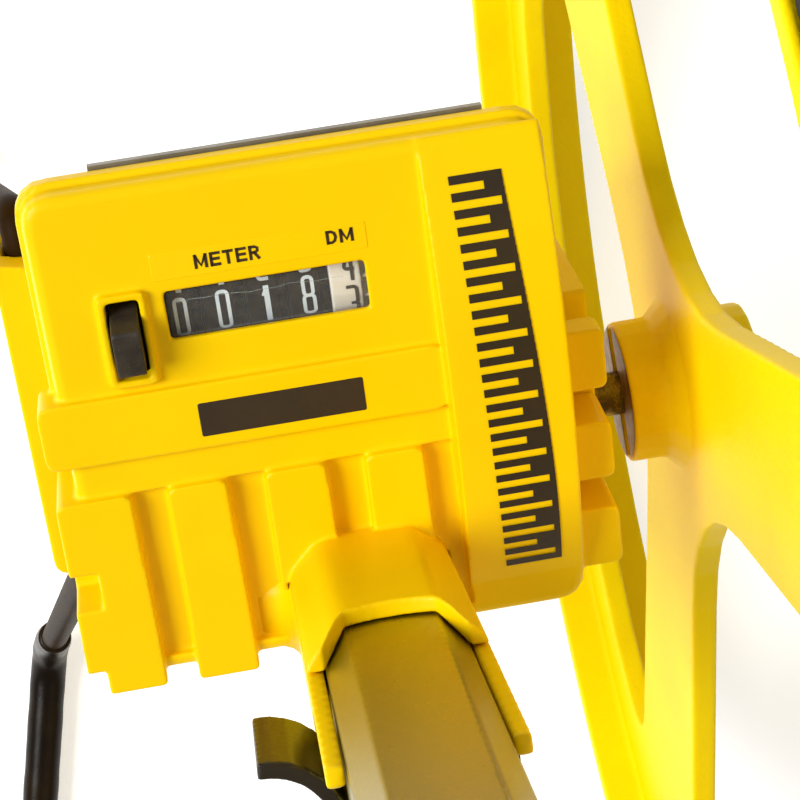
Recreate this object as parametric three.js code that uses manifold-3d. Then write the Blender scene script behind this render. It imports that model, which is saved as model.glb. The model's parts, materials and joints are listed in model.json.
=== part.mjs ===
// Measuring wheel: a one metre wheel, a moulded counter housing and a folding handle.
// Millimetres, +Z up, +Y forward, +X along the axle from the housing to the wheel.
import * as THREE from 'three';
import { mergeVertices } from 'three/addons/utils/BufferGeometryUtils.js';
import Module from 'manifold-3d';

const wasm = await Module();
wasm.setup();

// Clearances, shared by every fit
const fitGap = 0.3;
const runGap = 0.4;
const cutOverrun = 2;
const weldShare = 1e-6;
const bevelShare = 2 - Math.SQRT2;
const parallelShare = 0.9;
const sharpestBendShare = 0.5;

// Stance
const headLean = THREE.MathUtils.degToRad(22);
const handleTilt = THREE.MathUtils.degToRad(13.5);

// Wheel
const treadLength = 1000;
const tyreHeight = 1.9;
const lipHeight = 0.9;
const lipWidth = 1.4;
const hoopWall = 4;
const hoopWidth = 23;
const wheelStandOff = 1;
const webWidth = 17;
const plateThickness = 5;
const bossLength = 24;
const bossRadius = 12.9;
const bossFlare = 3;
const spokeCount = 3;
const spokeHubHalfWidth = 16.5;
const spokeRimHalfWidth = 22.5;
const windowHubFillet = 52;
const windowRimFillet = 30;
const firstSpokeAngle = THREE.MathUtils.degToRad(100);
const keySlotWidth = 3.8;
const keySlotDepth = 4.6;
const keyPinRadius = 1.5;

// Axle and its bearings
const axleRadius = 4;
const axleTail = 3.85;
const nutRadius = 6.5;
const nutHeight = 5;
const washerRadius = 8;
const washerThickness = 1.4;
const axleTip = 0.8;
const nutRecess = 7.4;
const nutRecessRadius = 9;
const bushWall = 2.2;
const bushFlange = 2.5;
const bushFlangeThickness = 1.4;

// Housing, in the face frame: x along the axle, y up the face, z out of the face
const faceLeft = 96.2;
const faceRight = 14;
const topMargin = 22.9;
const faceBottom = 24.5;
const faceLevel = 28.5;
const beltLevel = 30;
const pocketLevel = 26.7;
const faceBevel = 1.6;
const faceCorner = 5;
const wall = 2.4;
const lidLeft = 97.4;
const lidParting = 21;
const flangeReach = 1.1;
const flangeHeight = 3;
const lowerParting = 14;
const partingStep = 16;
const beltLow = 16.8;
const beltHigh = 28.3;
const beltReach = 3.6;
const beltCorner = 2;
const ribTop = 10.4;
const ribOverhang = 2.2;
const ribFoot = 2.6;
const ribDraft = 0.15;
const firstRibEdge = 101.2;
const secondRibEdge = 82.5;
const thirdRibEdge = 66.1;
const fourthRibEdge = 49.2;
const firstRibWidth = 12.9;
const secondRibWidth = 10.2;
const thirdRibWidth = 10.5;
const fourthRibWidth = 10;
const ribFootCorner = 1;
const ribTopCorner = 1.5;
const ribNotchLow = 9.9;
const ribNotchHigh = 3;
const ribNotchEdge = 96.4;
const ribNotchFloor = 20;
const ribStepEdge = 98.2;
const ribStepDrop = 22;
const rearDepth = 24;
const rearTopRise = 0.7;
const rearKneeRise = 13.7;
const rearKneeOut = 6;
const rearShoulderRise = 20.2;

// Ruler drum moulded on the face
const drumFaceRadius = 110;
const drumFaceCentre = 21.9;
const drumFaceCrest = 36;
const drumFaceLeft = 34;

// Castellated right side and its gearbox wall
const sideReach = 7.4;
const sideLow = 22;
const sideHigh = 27;
const upperBlockLow = 14.2;
const upperBlockHigh = 25.1;
const middleBlockLow = 2.7;
const middleBlockHigh = 7.9;
const lowerBlockLow = 19.5;
const lowerBlockHigh = 8.5;
const sideBlockLevel = 26.8;
const sideCorner = 1.5;

// Window, lens and reset slot
const windowLeft = 77.3;
const windowRight = 44.6;
const windowHalfHeight = 4.2;
const lensFlange = 1.3;
const lensThickness = 1.7;
const lensFlangeThickness = 0.8;
const slotLeft = 86.9;
const slotRight = 81.4;
const slotDrop = 9.5;
const slotRise = 4.3;
const slotFrame = 1.2;
const slotFrameCorner = 1;

// Counter
const counterUp = 40.3;
const counterOut = 12.9;
const drumCount = 5;
const drumPitch = 7;
const drumRadius = 12.4;
const drumWidth = 5.2;
const drumGearWidth = 1.5;
const drumGearTeeth = 20;
const pinionTeeth = 8;
const drumGearRadius = 11;
const pinionWidth = 1.2;
const shaftRadius = 1.6;
const frameThickness = 1.5;
const frameBack = 10;
const frameMargin = 5;
const frameShoulder = 2.8;
const gearWidth = 4;
const gearAddendumShare = 0.85;
const gearDedendumShare = 1.25;
const toothTipShare = 0.1;
const toothRootShare = 0.27;
const axleGearTeeth = 24;
const idlerTeeth = 30;
const pinHead = 1.2;
const leverHubRadius = 4.5;
const leverWidth = 4.6;
const leverArm = 8.3;
const leverReach = 22.1;
const leverCorner = 0.8;
const leverRest = THREE.MathUtils.degToRad(8);

// Chassis plate behind the lid
const chassisThickness = 1.4;
const chassisProud = 1.6;
const chassisTab = 64;
const chassisTabShift = 1.2;

// Screws that hold the lid to the rear shell
const screwRadius = 1.6;
const screwHead = 3.1;
const screwHeadHeight = 2.2;
const screwInset = 6.2;
const bossWall = 2.2;

// Handle tube, in the handle frame: s along the tube, w towards the back
const tubeAcross = 22;
const tubeBevel = 4;
const tubeWall = 1.6;
const tubeX = 51;
const tubeBehind = 24.5;
const tubeFoot = -12;
const socketWall = 2.6;
const hoodTop = 72;
const hoodSkirt = 6.5;
const hoodArchRise = 1.6;
const hoodCorner = 5;
const neckTop = 76;
const wingTop = 118;
const wingWidth = 3.2;
const neckFloor = 3;
const socketScrewS = 58;

// Stand clip on the tube
const clipLow = 78;
const clipHigh = 98.5;
const clipThickness = 2.6;
const clipHookReach = 10.4;
const clipHookRise = 0.2;
const clipHookDrop = 7;
const clipHookBend = 2.9;

// Folding joint
const foldS = 440;
const yokeLength = 48;
const yokeWall = 3;
const yokeCorner = 5;
const earRadius = 6.5;
const earWidth = 5;
const foldPinRadius = 2.5;
const foldPinOffset = 21;
const latchWidth = 11;
const latchThickness = 3;
const latchLength = 22;
const latchNose = 9;
const latchTravel = 5;
const latchGripShares = [0.45, 0.65, 0.85];

// Upper tube and grip
const upperTubeTop = 810;
const gripLow = 690;
const gripHigh = 846;
const gripHalfWidth = 15.5;
const gripHalfDepth = 18;
const gripCoverThickness = 2;
const gripCoverInset = 14;
const capHeight = 6;
const capTopShare = 0.7;

// Stand: one bent rod on the left of the housing
const rodRadius = 3;
const sleeveWall = 1.1;
const rodX = 100.5;
const rodBend = 5;
const rodLegLow = -17.5;
const rodLegHigh = 52;
const footBend = 14;
const rearEndLeft = 158;
const rearEndBack = 190;
const rearHeelLeft = 125;
const rearHeelBack = 49;
const frontHeelLeft = 131;
const frontHeelReach = 74;
const frontEndLeft = 145;
const frontEndReach = 134;
const rearSleeveRise = 26;
const frontSleeveShare = 0.3;
const coverLow = -13.2;
const coverHigh = 44.5;
const coverHorn = 1.9;
const coverCorner = 3;
const coverHalfDepth = 9;
const coverWall = 1.5;

// Colours
const yellow = 0xf2c400;
const castYellow = 0xefc21a;
const black = 0x17181a;
const steel = 0xa9a79c;
const passivated = 0xb7a35a;
const brass = 0xb08d4a;
const white = 0xf0efe8;
const satinGold = 0xb5ac80;
const clear = 0xdfe6e6;

function finish(color, roughness, metalness) {
  return new THREE.MeshStandardMaterial({ color, roughness, metalness, flatShading: true });
}

const mouldedYellow = finish(yellow, 0.38, 0);
const powderCoat = finish(castYellow, 0.55, 0.1);
const blackPlastic = finish(black, 0.4, 0);
const rubber = finish(black, 0.85, 0);
const bareSteel = finish(steel, 0.35, 0.9);
const yellowSteel = finish(passivated, 0.35, 0.9);
const bearingBrass = finish(brass, 0.4, 0.9);
const whitePlastic = finish(white, 0.5, 0);
const satinTube = finish(satinGold, 0.3, 0.8);
const blackRod = finish(black, 0.25, 0.3);
const clearPlastic = finish(clear, 0.08, 0);

// A three.js geometry becomes a solid that can be joined and cut.
function solid(geometry) {
  const bare = new THREE.BufferGeometry();
  bare.setAttribute('position', geometry.getAttribute('position').clone());
  if (geometry.index) {
    bare.setIndex(geometry.index.clone());
  }
  bare.computeBoundingSphere();
  const welded = mergeVertices(bare, bare.boundingSphere.radius * weldShare);
  const points = welded.getAttribute('position').array;
  const corners = welded.index.array;
  const kept = [];
  for (let i = 0; i < corners.length; i += 3) {
    const [a, b, c] = [corners[i], corners[i + 1], corners[i + 2]];
    if (a !== b && b !== c && c !== a) {
      kept.push(a, b, c);
    }
  }
  const facing = signedVolume(points, kept) > 0;
  if (!facing) {
    kept.reverse();
  }
  const mesh = new wasm.Mesh({
    numProp: 3,
    vertProperties: new Float32Array(points),
    triVerts: new Uint32Array(kept),
  });
  return new wasm.Manifold(mesh);
}

function signedVolume(points, corners) {
  let total = 0;
  const [a, b, c] = [new THREE.Vector3(), new THREE.Vector3(), new THREE.Vector3()];
  for (let i = 0; i < corners.length; i += 3) {
    a.fromArray(points, 3 * corners[i]);
    b.fromArray(points, 3 * corners[i + 1]);
    c.fromArray(points, 3 * corners[i + 2]);
    total += a.dot(b.cross(c));
  }
  return total;
}

function geometryOf(body) {
  const mesh = body.getMesh();
  const geometry = new THREE.BufferGeometry();
  geometry.setAttribute('position', new THREE.BufferAttribute(mesh.vertProperties, 3));
  geometry.setIndex(new THREE.BufferAttribute(mesh.triVerts, 1));
  geometry.computeVertexNormals();
  return geometry;
}

function join(...bodies) {
  return bodies.reduce((whole, body) => whole.add(body));
}

function cut(body, ...tools) {
  return tools.reduce((rest, tool) => rest.subtract(tool), body);
}

function piece(name, body, material) {
  const mesh = new THREE.Mesh(geometryOf(body), material);
  mesh.name = name;
  return mesh;
}

// Flat outlines
function outline(points) {
  return new THREE.Shape(points.map(([a, b]) => new THREE.Vector2(a, b)));
}

function rectangle(a0, a1, b0, b1) {
  return outline([[a0, b0], [a1, b0], [a1, b1], [a0, b1]]);
}

// A polygon whose corners are rounded by their own radii.
function rounded(points, radii) {
  const shape = new THREE.Shape();
  const count = points.length;
  points.forEach(([x, y], i) => {
    const corner = new THREE.Vector2(x, y);
    const before = new THREE.Vector2(...points[(i + count - 1) % count]).sub(corner);
    const after = new THREE.Vector2(...points[(i + 1) % count]).sub(corner);
    const limit = Math.min(before.length(), after.length()) / 2;
    const half = before.angleTo(after) / 2;
    const radius = radii[i] ?? radii[0];
    const back = radius > 0 ? Math.min(radius / Math.tan(half), limit) : 0;
    const enter = corner.clone().add(before.setLength(back));
    const leave = corner.clone().add(after.setLength(back));
    if (i === 0) {
      shape.moveTo(enter.x, enter.y);
    } else {
      shape.lineTo(enter.x, enter.y);
    }
    if (back > 0) {
      shape.quadraticCurveTo(corner.x, corner.y, leave.x, leave.y);
    }
  });
  shape.closePath();
  return shape;
}

function roundedRectangle(a0, a1, b0, b1, radius) {
  return rounded([[a0, b0], [a1, b0], [a1, b1], [a0, b1]], [radius, radius, radius, radius]);
}

function disc(centreA, centreB, radius) {
  const shape = new THREE.Shape();
  shape.absarc(centreA, centreB, radius, 0, 2 * Math.PI, false);
  return shape;
}

function octagon(x, y, across, bevel) {
  const h = across / 2;
  const f = h - bevel;
  const points = [[-f, -h], [f, -h], [h, -f], [h, f], [f, h], [-f, h], [-h, f], [-h, -f]];
  return outline(points.map(([a, b]) => [x + a, y + b]));
}

function gearOutline(teeth, module, phase, pointed = false) {
  const pitch = (2 * Math.PI) / teeth;
  const tipRadius = module * (teeth / 2 + gearAddendumShare);
  const rootRadius = module * (teeth / 2 - gearDedendumShare);
  const points = [];
  for (let i = 0; i < teeth; i += 1) {
    const centre = phase + i * pitch;
    const corners = [
      [rootRadius, -toothRootShare],
      [tipRadius, -toothTipShare],
      [tipRadius, toothTipShare],
      [rootRadius, toothRootShare],
    ];
    const kept = pointed ? [[tipRadius, 0], [rootRadius, 0.5]] : corners;
    kept.forEach(([radius, share]) => {
      const angle = centre + share * pitch;
      points.push([radius * Math.cos(angle), radius * Math.sin(angle)]);
    });
  }
  return outline(points);
}

// Extrusions along each axis of the frame that holds them
function alongZ(shape, z0, z1, curveSegments = 6, bevel = 0) {
  const geometry = new THREE.ExtrudeGeometry(shape, {
    depth: z1 - z0 - 2 * bevel,
    bevelEnabled: bevel > 0,
    bevelSize: bevel,
    bevelThickness: bevel,
    bevelOffset: -bevel,
    bevelSegments: 2,
    curveSegments,
  });
  geometry.translate(0, 0, z0 + bevel);
  return solid(geometry);
}

// The outline lies in y and z, and the extrusion runs along x.
function alongX(shape, x0, x1, curveSegments = 6) {
  const geometry = new THREE.ExtrudeGeometry(shape, { depth: x1 - x0, bevelEnabled: false, curveSegments });
  const turn = new THREE.Matrix4().makeBasis(
    new THREE.Vector3(0, 1, 0),
    new THREE.Vector3(0, 0, 1),
    new THREE.Vector3(1, 0, 0),
  );
  geometry.applyMatrix4(turn);
  geometry.translate(x0, 0, 0);
  return solid(geometry);
}

function block(x0, x1, y0, y1, z0, z1) {
  const geometry = new THREE.BoxGeometry(x1 - x0, y1 - y0, z1 - z0);
  geometry.translate((x0 + x1) / 2, (y0 + y1) / 2, (z0 + z1) / 2);
  return solid(geometry);
}

// A revolved body on the x axis, from points of radius and x.
function revolved(points, segments) {
  const profile = points.map(([radius, x]) => new THREE.Vector2(radius, x));
  const geometry = new THREE.LatheGeometry(profile, segments);
  geometry.rotateZ(-Math.PI / 2);
  return solid(geometry);
}

function ring(inner, outer, x0, x1, segments) {
  return revolved([[inner, x0], [outer, x0], [outer, x1], [inner, x1], [inner, x0]], segments);
}

function rod(radius, x0, x1, segments) {
  return revolved([[0, x0], [radius, x0], [radius, x1], [0, x1]], segments);
}

function rodAlongZ(radius, x, y, z0, z1, segments = 16) {
  const geometry = new THREE.CylinderGeometry(radius, radius, z1 - z0, segments);
  geometry.rotateX(Math.PI / 2);
  geometry.translate(x, y, (z0 + z1) / 2);
  return solid(geometry);
}

// Rings of equal count joined into one closed body.
function loft(rings) {
  const count = rings[0].length;
  const points = [];
  rings.forEach((ringPoints) => ringPoints.forEach((p) => points.push(p.x, p.y, p.z)));
  const corners = [];
  for (let r = 0; r + 1 < rings.length; r += 1) {
    for (let i = 0; i < count; i += 1) {
      const next = (i + 1) % count;
      const [a, b] = [r * count + i, r * count + next];
      corners.push(a, b, b + count, a, b + count, a + count);
    }
  }
  const last = (rings.length - 1) * count;
  for (let i = 1; i + 1 < count; i += 1) {
    corners.push(0, i + 1, i);
    corners.push(last, last + i, last + i + 1);
  }
  const geometry = new THREE.BufferGeometry();
  geometry.setAttribute('position', new THREE.Float32BufferAttribute(points, 3));
  geometry.setIndex(corners);
  return solid(geometry);
}

// A round bar through points, with its corners bent to the radii given.
function bentBar(points, radius, bends, sides = 10, bendSteps = 4) {
  const line = [points[0]];
  for (let i = 1; i + 1 < points.length; i += 1) {
    const bend = bends[i - 1];
    const corner = points[i];
    const back = points[i - 1].clone().sub(corner);
    const ahead = points[i + 1].clone().sub(corner);
    const half = back.angleTo(ahead) / 2;
    const reach = Math.min(bend / Math.tan(half), back.length() / 2, ahead.length() / 2);
    const enter = corner.clone().add(back.setLength(reach));
    const leave = corner.clone().add(ahead.setLength(reach));
    const curve = new THREE.QuadraticBezierCurve3(enter, corner, leave);
    line.push(...curve.getPoints(bendSteps));
  }
  line.push(points[points.length - 1]);
  let side = new THREE.Vector3(1, 0, 0);
  const first = line[1].clone().sub(line[0]).normalize();
  if (Math.abs(first.dot(side)) > parallelShare) {
    side = new THREE.Vector3(0, 0, 1);
  }
  side.addScaledVector(first, -side.dot(first)).normalize();
  let heading = first;
  const rings = line.map((point, i) => {
    const from = line[Math.max(i - 1, 0)];
    const to = line[Math.min(i + 1, line.length - 1)];
    const direction = to.clone().sub(from).normalize();
    side.applyQuaternion(new THREE.Quaternion().setFromUnitVectors(heading, direction));
    heading = direction;
    const up = direction.clone().cross(side);
    return Array.from({ length: sides }, (_, k) => {
      const angle = (2 * Math.PI * k) / sides;
      return point.clone()
        .addScaledVector(side, radius * Math.cos(angle))
        .addScaledVector(up, radius * Math.sin(angle));
    });
  });
  return loft(rings);
}

// Shared places
const faceTop = counterUp + topMargin;
const rearTopLevel = counterUp + rearTopRise;
const rearKneeUp = counterUp + rearKneeRise;
const rearShoulder = counterUp + rearShoulderRise;
const windowLow = counterUp - windowHalfHeight;
const windowHigh = counterUp + windowHalfHeight;
const slotLow = counterUp - slotDrop;
const slotHigh = counterUp + slotRise;
const treadRadius = treadLength / (2 * Math.PI);
const hoopOuter = treadRadius - tyreHeight;
const hoopInner = hoopOuter - hoopWall;
const webInner = hoopInner - webWidth;
const plateMiddle = bossLength / 2;
const tubeW = tubeBehind;
const boreAcross = tubeAcross + 2 * fitGap;
const socketAcross = boreAcross + 2 * socketWall;
const boreBevel = tubeBevel + fitGap * bevelShare;
const socketBevel = boreBevel + socketWall * bevelShare;
const pinionDistance = drumGearRadius * (1 + pinionTeeth / drumGearTeeth);
const pinionModule = (2 * drumGearRadius) / drumGearTeeth;
const pinionOut = counterOut - pinionDistance - fitGap;
const shaftDistance = Math.hypot(counterUp, counterOut);
const trainTeeth = (axleGearTeeth + 2 * idlerTeeth + axleGearTeeth) / 2;
const gearModule = shaftDistance / trainTeeth;
const idlerShare = (axleGearTeeth + idlerTeeth) / 2 / trainTeeth;
const idlerUp = counterUp * idlerShare;
const idlerOut = counterOut * idlerShare;
const trainAngle = Math.atan2(counterOut, counterUp);
const counterMiddle = -(windowLeft + windowRight) / 2;
const counterLeft = counterMiddle - (drumCount * drumPitch) / 2;
const counterRight = counterMiddle + (drumCount * drumPitch) / 2;
const frameLeft = counterLeft - runGap - frameThickness;
const frameRight = counterRight + runGap;
const gearLeft = frameRight + frameThickness + runGap;
const gearRight = gearLeft + gearWidth;
const sideWallX = -faceRight + sideReach;
const roundSegments = 20;
const ringSegments = 72;

function wheelCasting() {
  const left = wheelStandOff;
  const right = left + hoopWidth;
  const hoop = revolved([
    [hoopInner, left],
    [hoopOuter + lipHeight, left],
    [hoopOuter + lipHeight, left + lipWidth],
    [hoopOuter, left + lipWidth],
    [hoopOuter, right - lipWidth],
    [hoopOuter + lipHeight, right - lipWidth],
    [hoopOuter + lipHeight, right],
    [hoopInner, right],
    [hoopInner, left],
  ], ringSegments);
  const plateLeft = plateMiddle - plateThickness / 2;
  const plateRight = plateMiddle + plateThickness / 2;
  const plate = rod(hoopInner + hoopWall / 2, plateLeft, plateRight, ringSegments);
  const windows = [];
  for (let i = 0; i < spokeCount; i += 1) {
    const angle = firstSpokeAngle + ((i + 0.5) * 2 * Math.PI) / spokeCount;
    windows.push(wheelWindow(angle, plateLeft, plateRight));
  }
  const boss = revolved([
    [0, 0],
    [bossRadius, 0],
    [bossRadius, plateLeft - bossFlare],
    [bossRadius + bossFlare, plateLeft],
    [bossRadius + bossFlare, plateRight],
    [bossRadius, plateRight + bossFlare],
    [bossRadius, bossLength],
    [0, bossLength],
  ], roundSegments);
  const bore = rod(axleRadius + fitGap, -cutOverrun, bossLength + cutOverrun, roundSegments);
  const slotHalf = bossRadius - lipWidth;
  const slot = block(-cutOverrun, keySlotDepth, -slotHalf, slotHalf, -keySlotWidth / 2, keySlotWidth / 2);
  const spokes = cut(plate, ...windows);
  const recess = rod(nutRecessRadius, bossLength - nutRecess, bossLength + cutOverrun, roundSegments);
  return cut(join(hoop, spokes, boss), bore, slot, recess);
}

// One opening between two spokes, whose sides spread towards the rim.
function wheelWindow(middle, x0, x1) {
  const spread = Math.PI / spokeCount;
  const outer = webInner;
  const inner = spokeHubHalfWidth / Math.sin(spread);
  const rimHalf = spread - Math.asin(spokeRimHalfWidth / outer);
  const arcSteps = 8;
  const points = [[inner, 0]];
  const radii = [windowHubFillet];
  for (let i = 0; i <= arcSteps; i += 1) {
    const angle = rimHalf * ((2 * i) / arcSteps - 1);
    points.push([outer * Math.cos(angle), outer * Math.sin(angle)]);
    radii.push(i === 0 || i === arcSteps ? windowRimFillet : 0);
  }
  const turned = points.map(([a, b]) => [
    a * Math.cos(middle) - b * Math.sin(middle),
    a * Math.sin(middle) + b * Math.cos(middle),
  ]);
  return alongX(rounded(turned, radii), x0 - cutOverrun, x1 + cutOverrun, 6);
}

function tyre() {
  const left = wheelStandOff + lipWidth + fitGap;
  const right = wheelStandOff + hoopWidth - lipWidth - fitGap;
  return ring(hoopOuter + fitGap, treadRadius, left, right, ringSegments);
}

function axle() {
  const right = bossLength - nutRecess + washerThickness + nutHeight + axleTip;
  const bar = rod(axleRadius, gearLeft - axleTail, right, roundSegments);
  return cut(bar, keyPinHole());
}

function keyPinHole() {
  const hole = rodAlongY(keyPinRadius + fitGap, keySlotDepth / 2, 0, -bossRadius, bossRadius);
  return hole;
}

function rodAlongY(radius, x, z, y0, y1, segments = 16) {
  const geometry = new THREE.CylinderGeometry(radius, radius, y1 - y0, segments);
  geometry.translate(x, (y0 + y1) / 2, z);
  return solid(geometry);
}

function keyPin() {
  const half = bossRadius - lipWidth - fitGap;
  return rodAlongY(keyPinRadius, keySlotDepth / 2, 0, -half, half);
}

function hubWasher() {
  const x0 = bossLength - nutRecess + fitGap;
  return ring(axleRadius + fitGap, washerRadius, x0, x0 + washerThickness - fitGap, roundSegments);
}

function hubNut() {
  const x0 = bossLength - nutRecess + washerThickness + fitGap;
  const hexagon = rod(nutRadius, x0, x0 + nutHeight, 6);
  return cut(hexagon, rod(axleRadius + fitGap, x0 - cutOverrun, x0 + nutHeight + cutOverrun, roundSegments));
}

function gear(teeth, phase, bore) {
  const shape = gearOutline(teeth, gearModule, phase);
  const body = alongX(shape, gearLeft, gearRight);
  return cut(body, rod(bore, gearLeft - cutOverrun, gearRight + cutOverrun, 12));
}

// Everything the handle frame holds, turned into the face frame.
function inFace(shape, s0, s1, curveSegments = 6) {
  const geometry = new THREE.ExtrudeGeometry(shape, { depth: s1 - s0, bevelEnabled: false, curveSegments });
  geometry.translate(0, 0, s0);
  geometry.rotateX(-handleTilt);
  return solid(geometry);
}

// A block of the handle frame between two places behind the axle.
function behind(w0, w1, s0, s1) {
  const half = socketAcross;
  return inFace(rectangle(-tubeX - half, -tubeX + half, -w1, -w0), s0, s1);
}

const hoodBack = tubeBehind - tubeAcross / 2 + tubeBevel;

function socketBore(s0, s1) {
  return inFace(octagon(-tubeX, -tubeW, boreAcross, boreBevel), s0, s1);
}

function socketOuter(s0, s1, extra = 0) {
  return inFace(octagon(-tubeX, -tubeW, socketAcross + 2 * extra, socketBevel), s0, s1);
}

// The hood over the tube: softly cornered, its mouth arched over the tube's front.
function hoodOuter(s0, s1) {
  const half = socketAcross / 2;
  const flat = half - socketBevel;
  const [x, y] = [-tubeX, -tubeW];
  const points = [
    [x + half, y - flat], [x + half, y + flat], [x + flat, y + half], [x - flat, y + half],
    [x - half, y + flat], [x - half, y - flat], [x - flat, y - half], [x + flat, y - half],
  ];
  return inFace(rounded(points, points.map(() => hoodCorner)), s0, s1);
}

function hoodArch() {
  const half = socketAcross;
  const flat = tubeAcross / 2 - tubeBevel;
  const skirt = tubeAcross / 2;
  const top = hoodTop + hoodSkirt;
  const shape = new THREE.Shape();
  shape.moveTo(-tubeX - half, top);
  shape.lineTo(-tubeX - skirt, top);
  shape.lineTo(-tubeX - flat, hoodTop);
  shape.quadraticCurveTo(-tubeX, hoodTop - 2 * hoodArchRise, -tubeX + flat, hoodTop);
  shape.lineTo(-tubeX + skirt, top);
  shape.lineTo(-tubeX + half, top);
  shape.lineTo(-tubeX + half, 2 * top);
  shape.lineTo(-tubeX - half, 2 * top);
  shape.closePath();
  const depth = 2 * half;
  const geometry = new THREE.ExtrudeGeometry(shape, { depth, bevelEnabled: false, curveSegments: 8 });
  geometry.translate(0, 0, tubeW - half);
  geometry.rotateX(Math.PI / 2 - handleTilt);
  return solid(geometry);
}

function faceOutline() {
  return roundedRectangle(-lidLeft, -faceRight, -faceBottom, faceTop, faceCorner);
}

function lidMask() {
  const far = 2 * faceTop;
  const profile = outline([
    [-far, lowerParting],
    [partingStep, lowerParting],
    [partingStep, lidParting],
    [far, lidParting],
    [far, far],
    [-far, far],
  ]);
  return alongX(profile, -2 * faceLeft, faceLeft);
}

// Two long ribs beside the tube and two short ones over it, by outer edge, width and foot.
function faceRibs() {
  const longFoot = -faceBottom - ribOverhang;
  const shortFoot = -tubeBehind / 2;
  const ribs = [
    [firstRibEdge, firstRibWidth, longFoot],
    [secondRibEdge, secondRibWidth, longFoot],
    [thirdRibEdge, thirdRibWidth, shortFoot],
    [fourthRibEdge, fourthRibWidth, shortFoot],
  ];
  return ribs.map(([edge, width, foot]) => {
    const points = [
      [-edge - ribDraft, foot],
      [-edge + width + ribDraft, foot],
      [-edge + width - ribDraft, ribTop],
      [-edge + ribDraft, ribTop],
    ];
    const corners = [ribFootCorner, ribFootCorner, ribTopCorner, ribTopCorner];
    return alongZ(rounded(points, corners), lowerParting, beltLevel);
  });
}

// The first rib's outer edge has a notch, and a step at its foot.
function ribReliefs() {
  const left = -firstRibEdge - cutOverrun;
  return [
    block(left, -ribNotchEdge, -ribNotchLow, -ribNotchHigh, ribNotchFloor, 2 * beltLevel),
    block(left, -ribStepEdge, -2 * faceBottom, -ribStepDrop, 0, 2 * beltLevel),
  ];
}

function rulerDrum() {
  const low = drumFaceCrest - drumFaceRadius;
  const reach = Math.acos((pocketLevel - low) / drumFaceRadius);
  const shape = new THREE.Shape();
  shape.absarc(drumFaceCentre, low, drumFaceRadius, Math.PI / 2 - reach, Math.PI / 2 + reach, false);
  shape.closePath();
  const arc = alongX(shape, -drumFaceLeft, -faceRight, 18);
  return arc.intersect(block(-faceLeft, 0, -faceBottom, faceTop, lowerParting, 2 * drumFaceCrest));
}

function screwPlaces() {
  const left = -faceLeft + screwInset;
  const right = -faceRight - screwInset;
  const low = -faceBottom + screwInset;
  const high = rearTopLevel - 2 * screwInset;
  return [[left, low], [right, low], [left, high], [right, high]];
}

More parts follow.
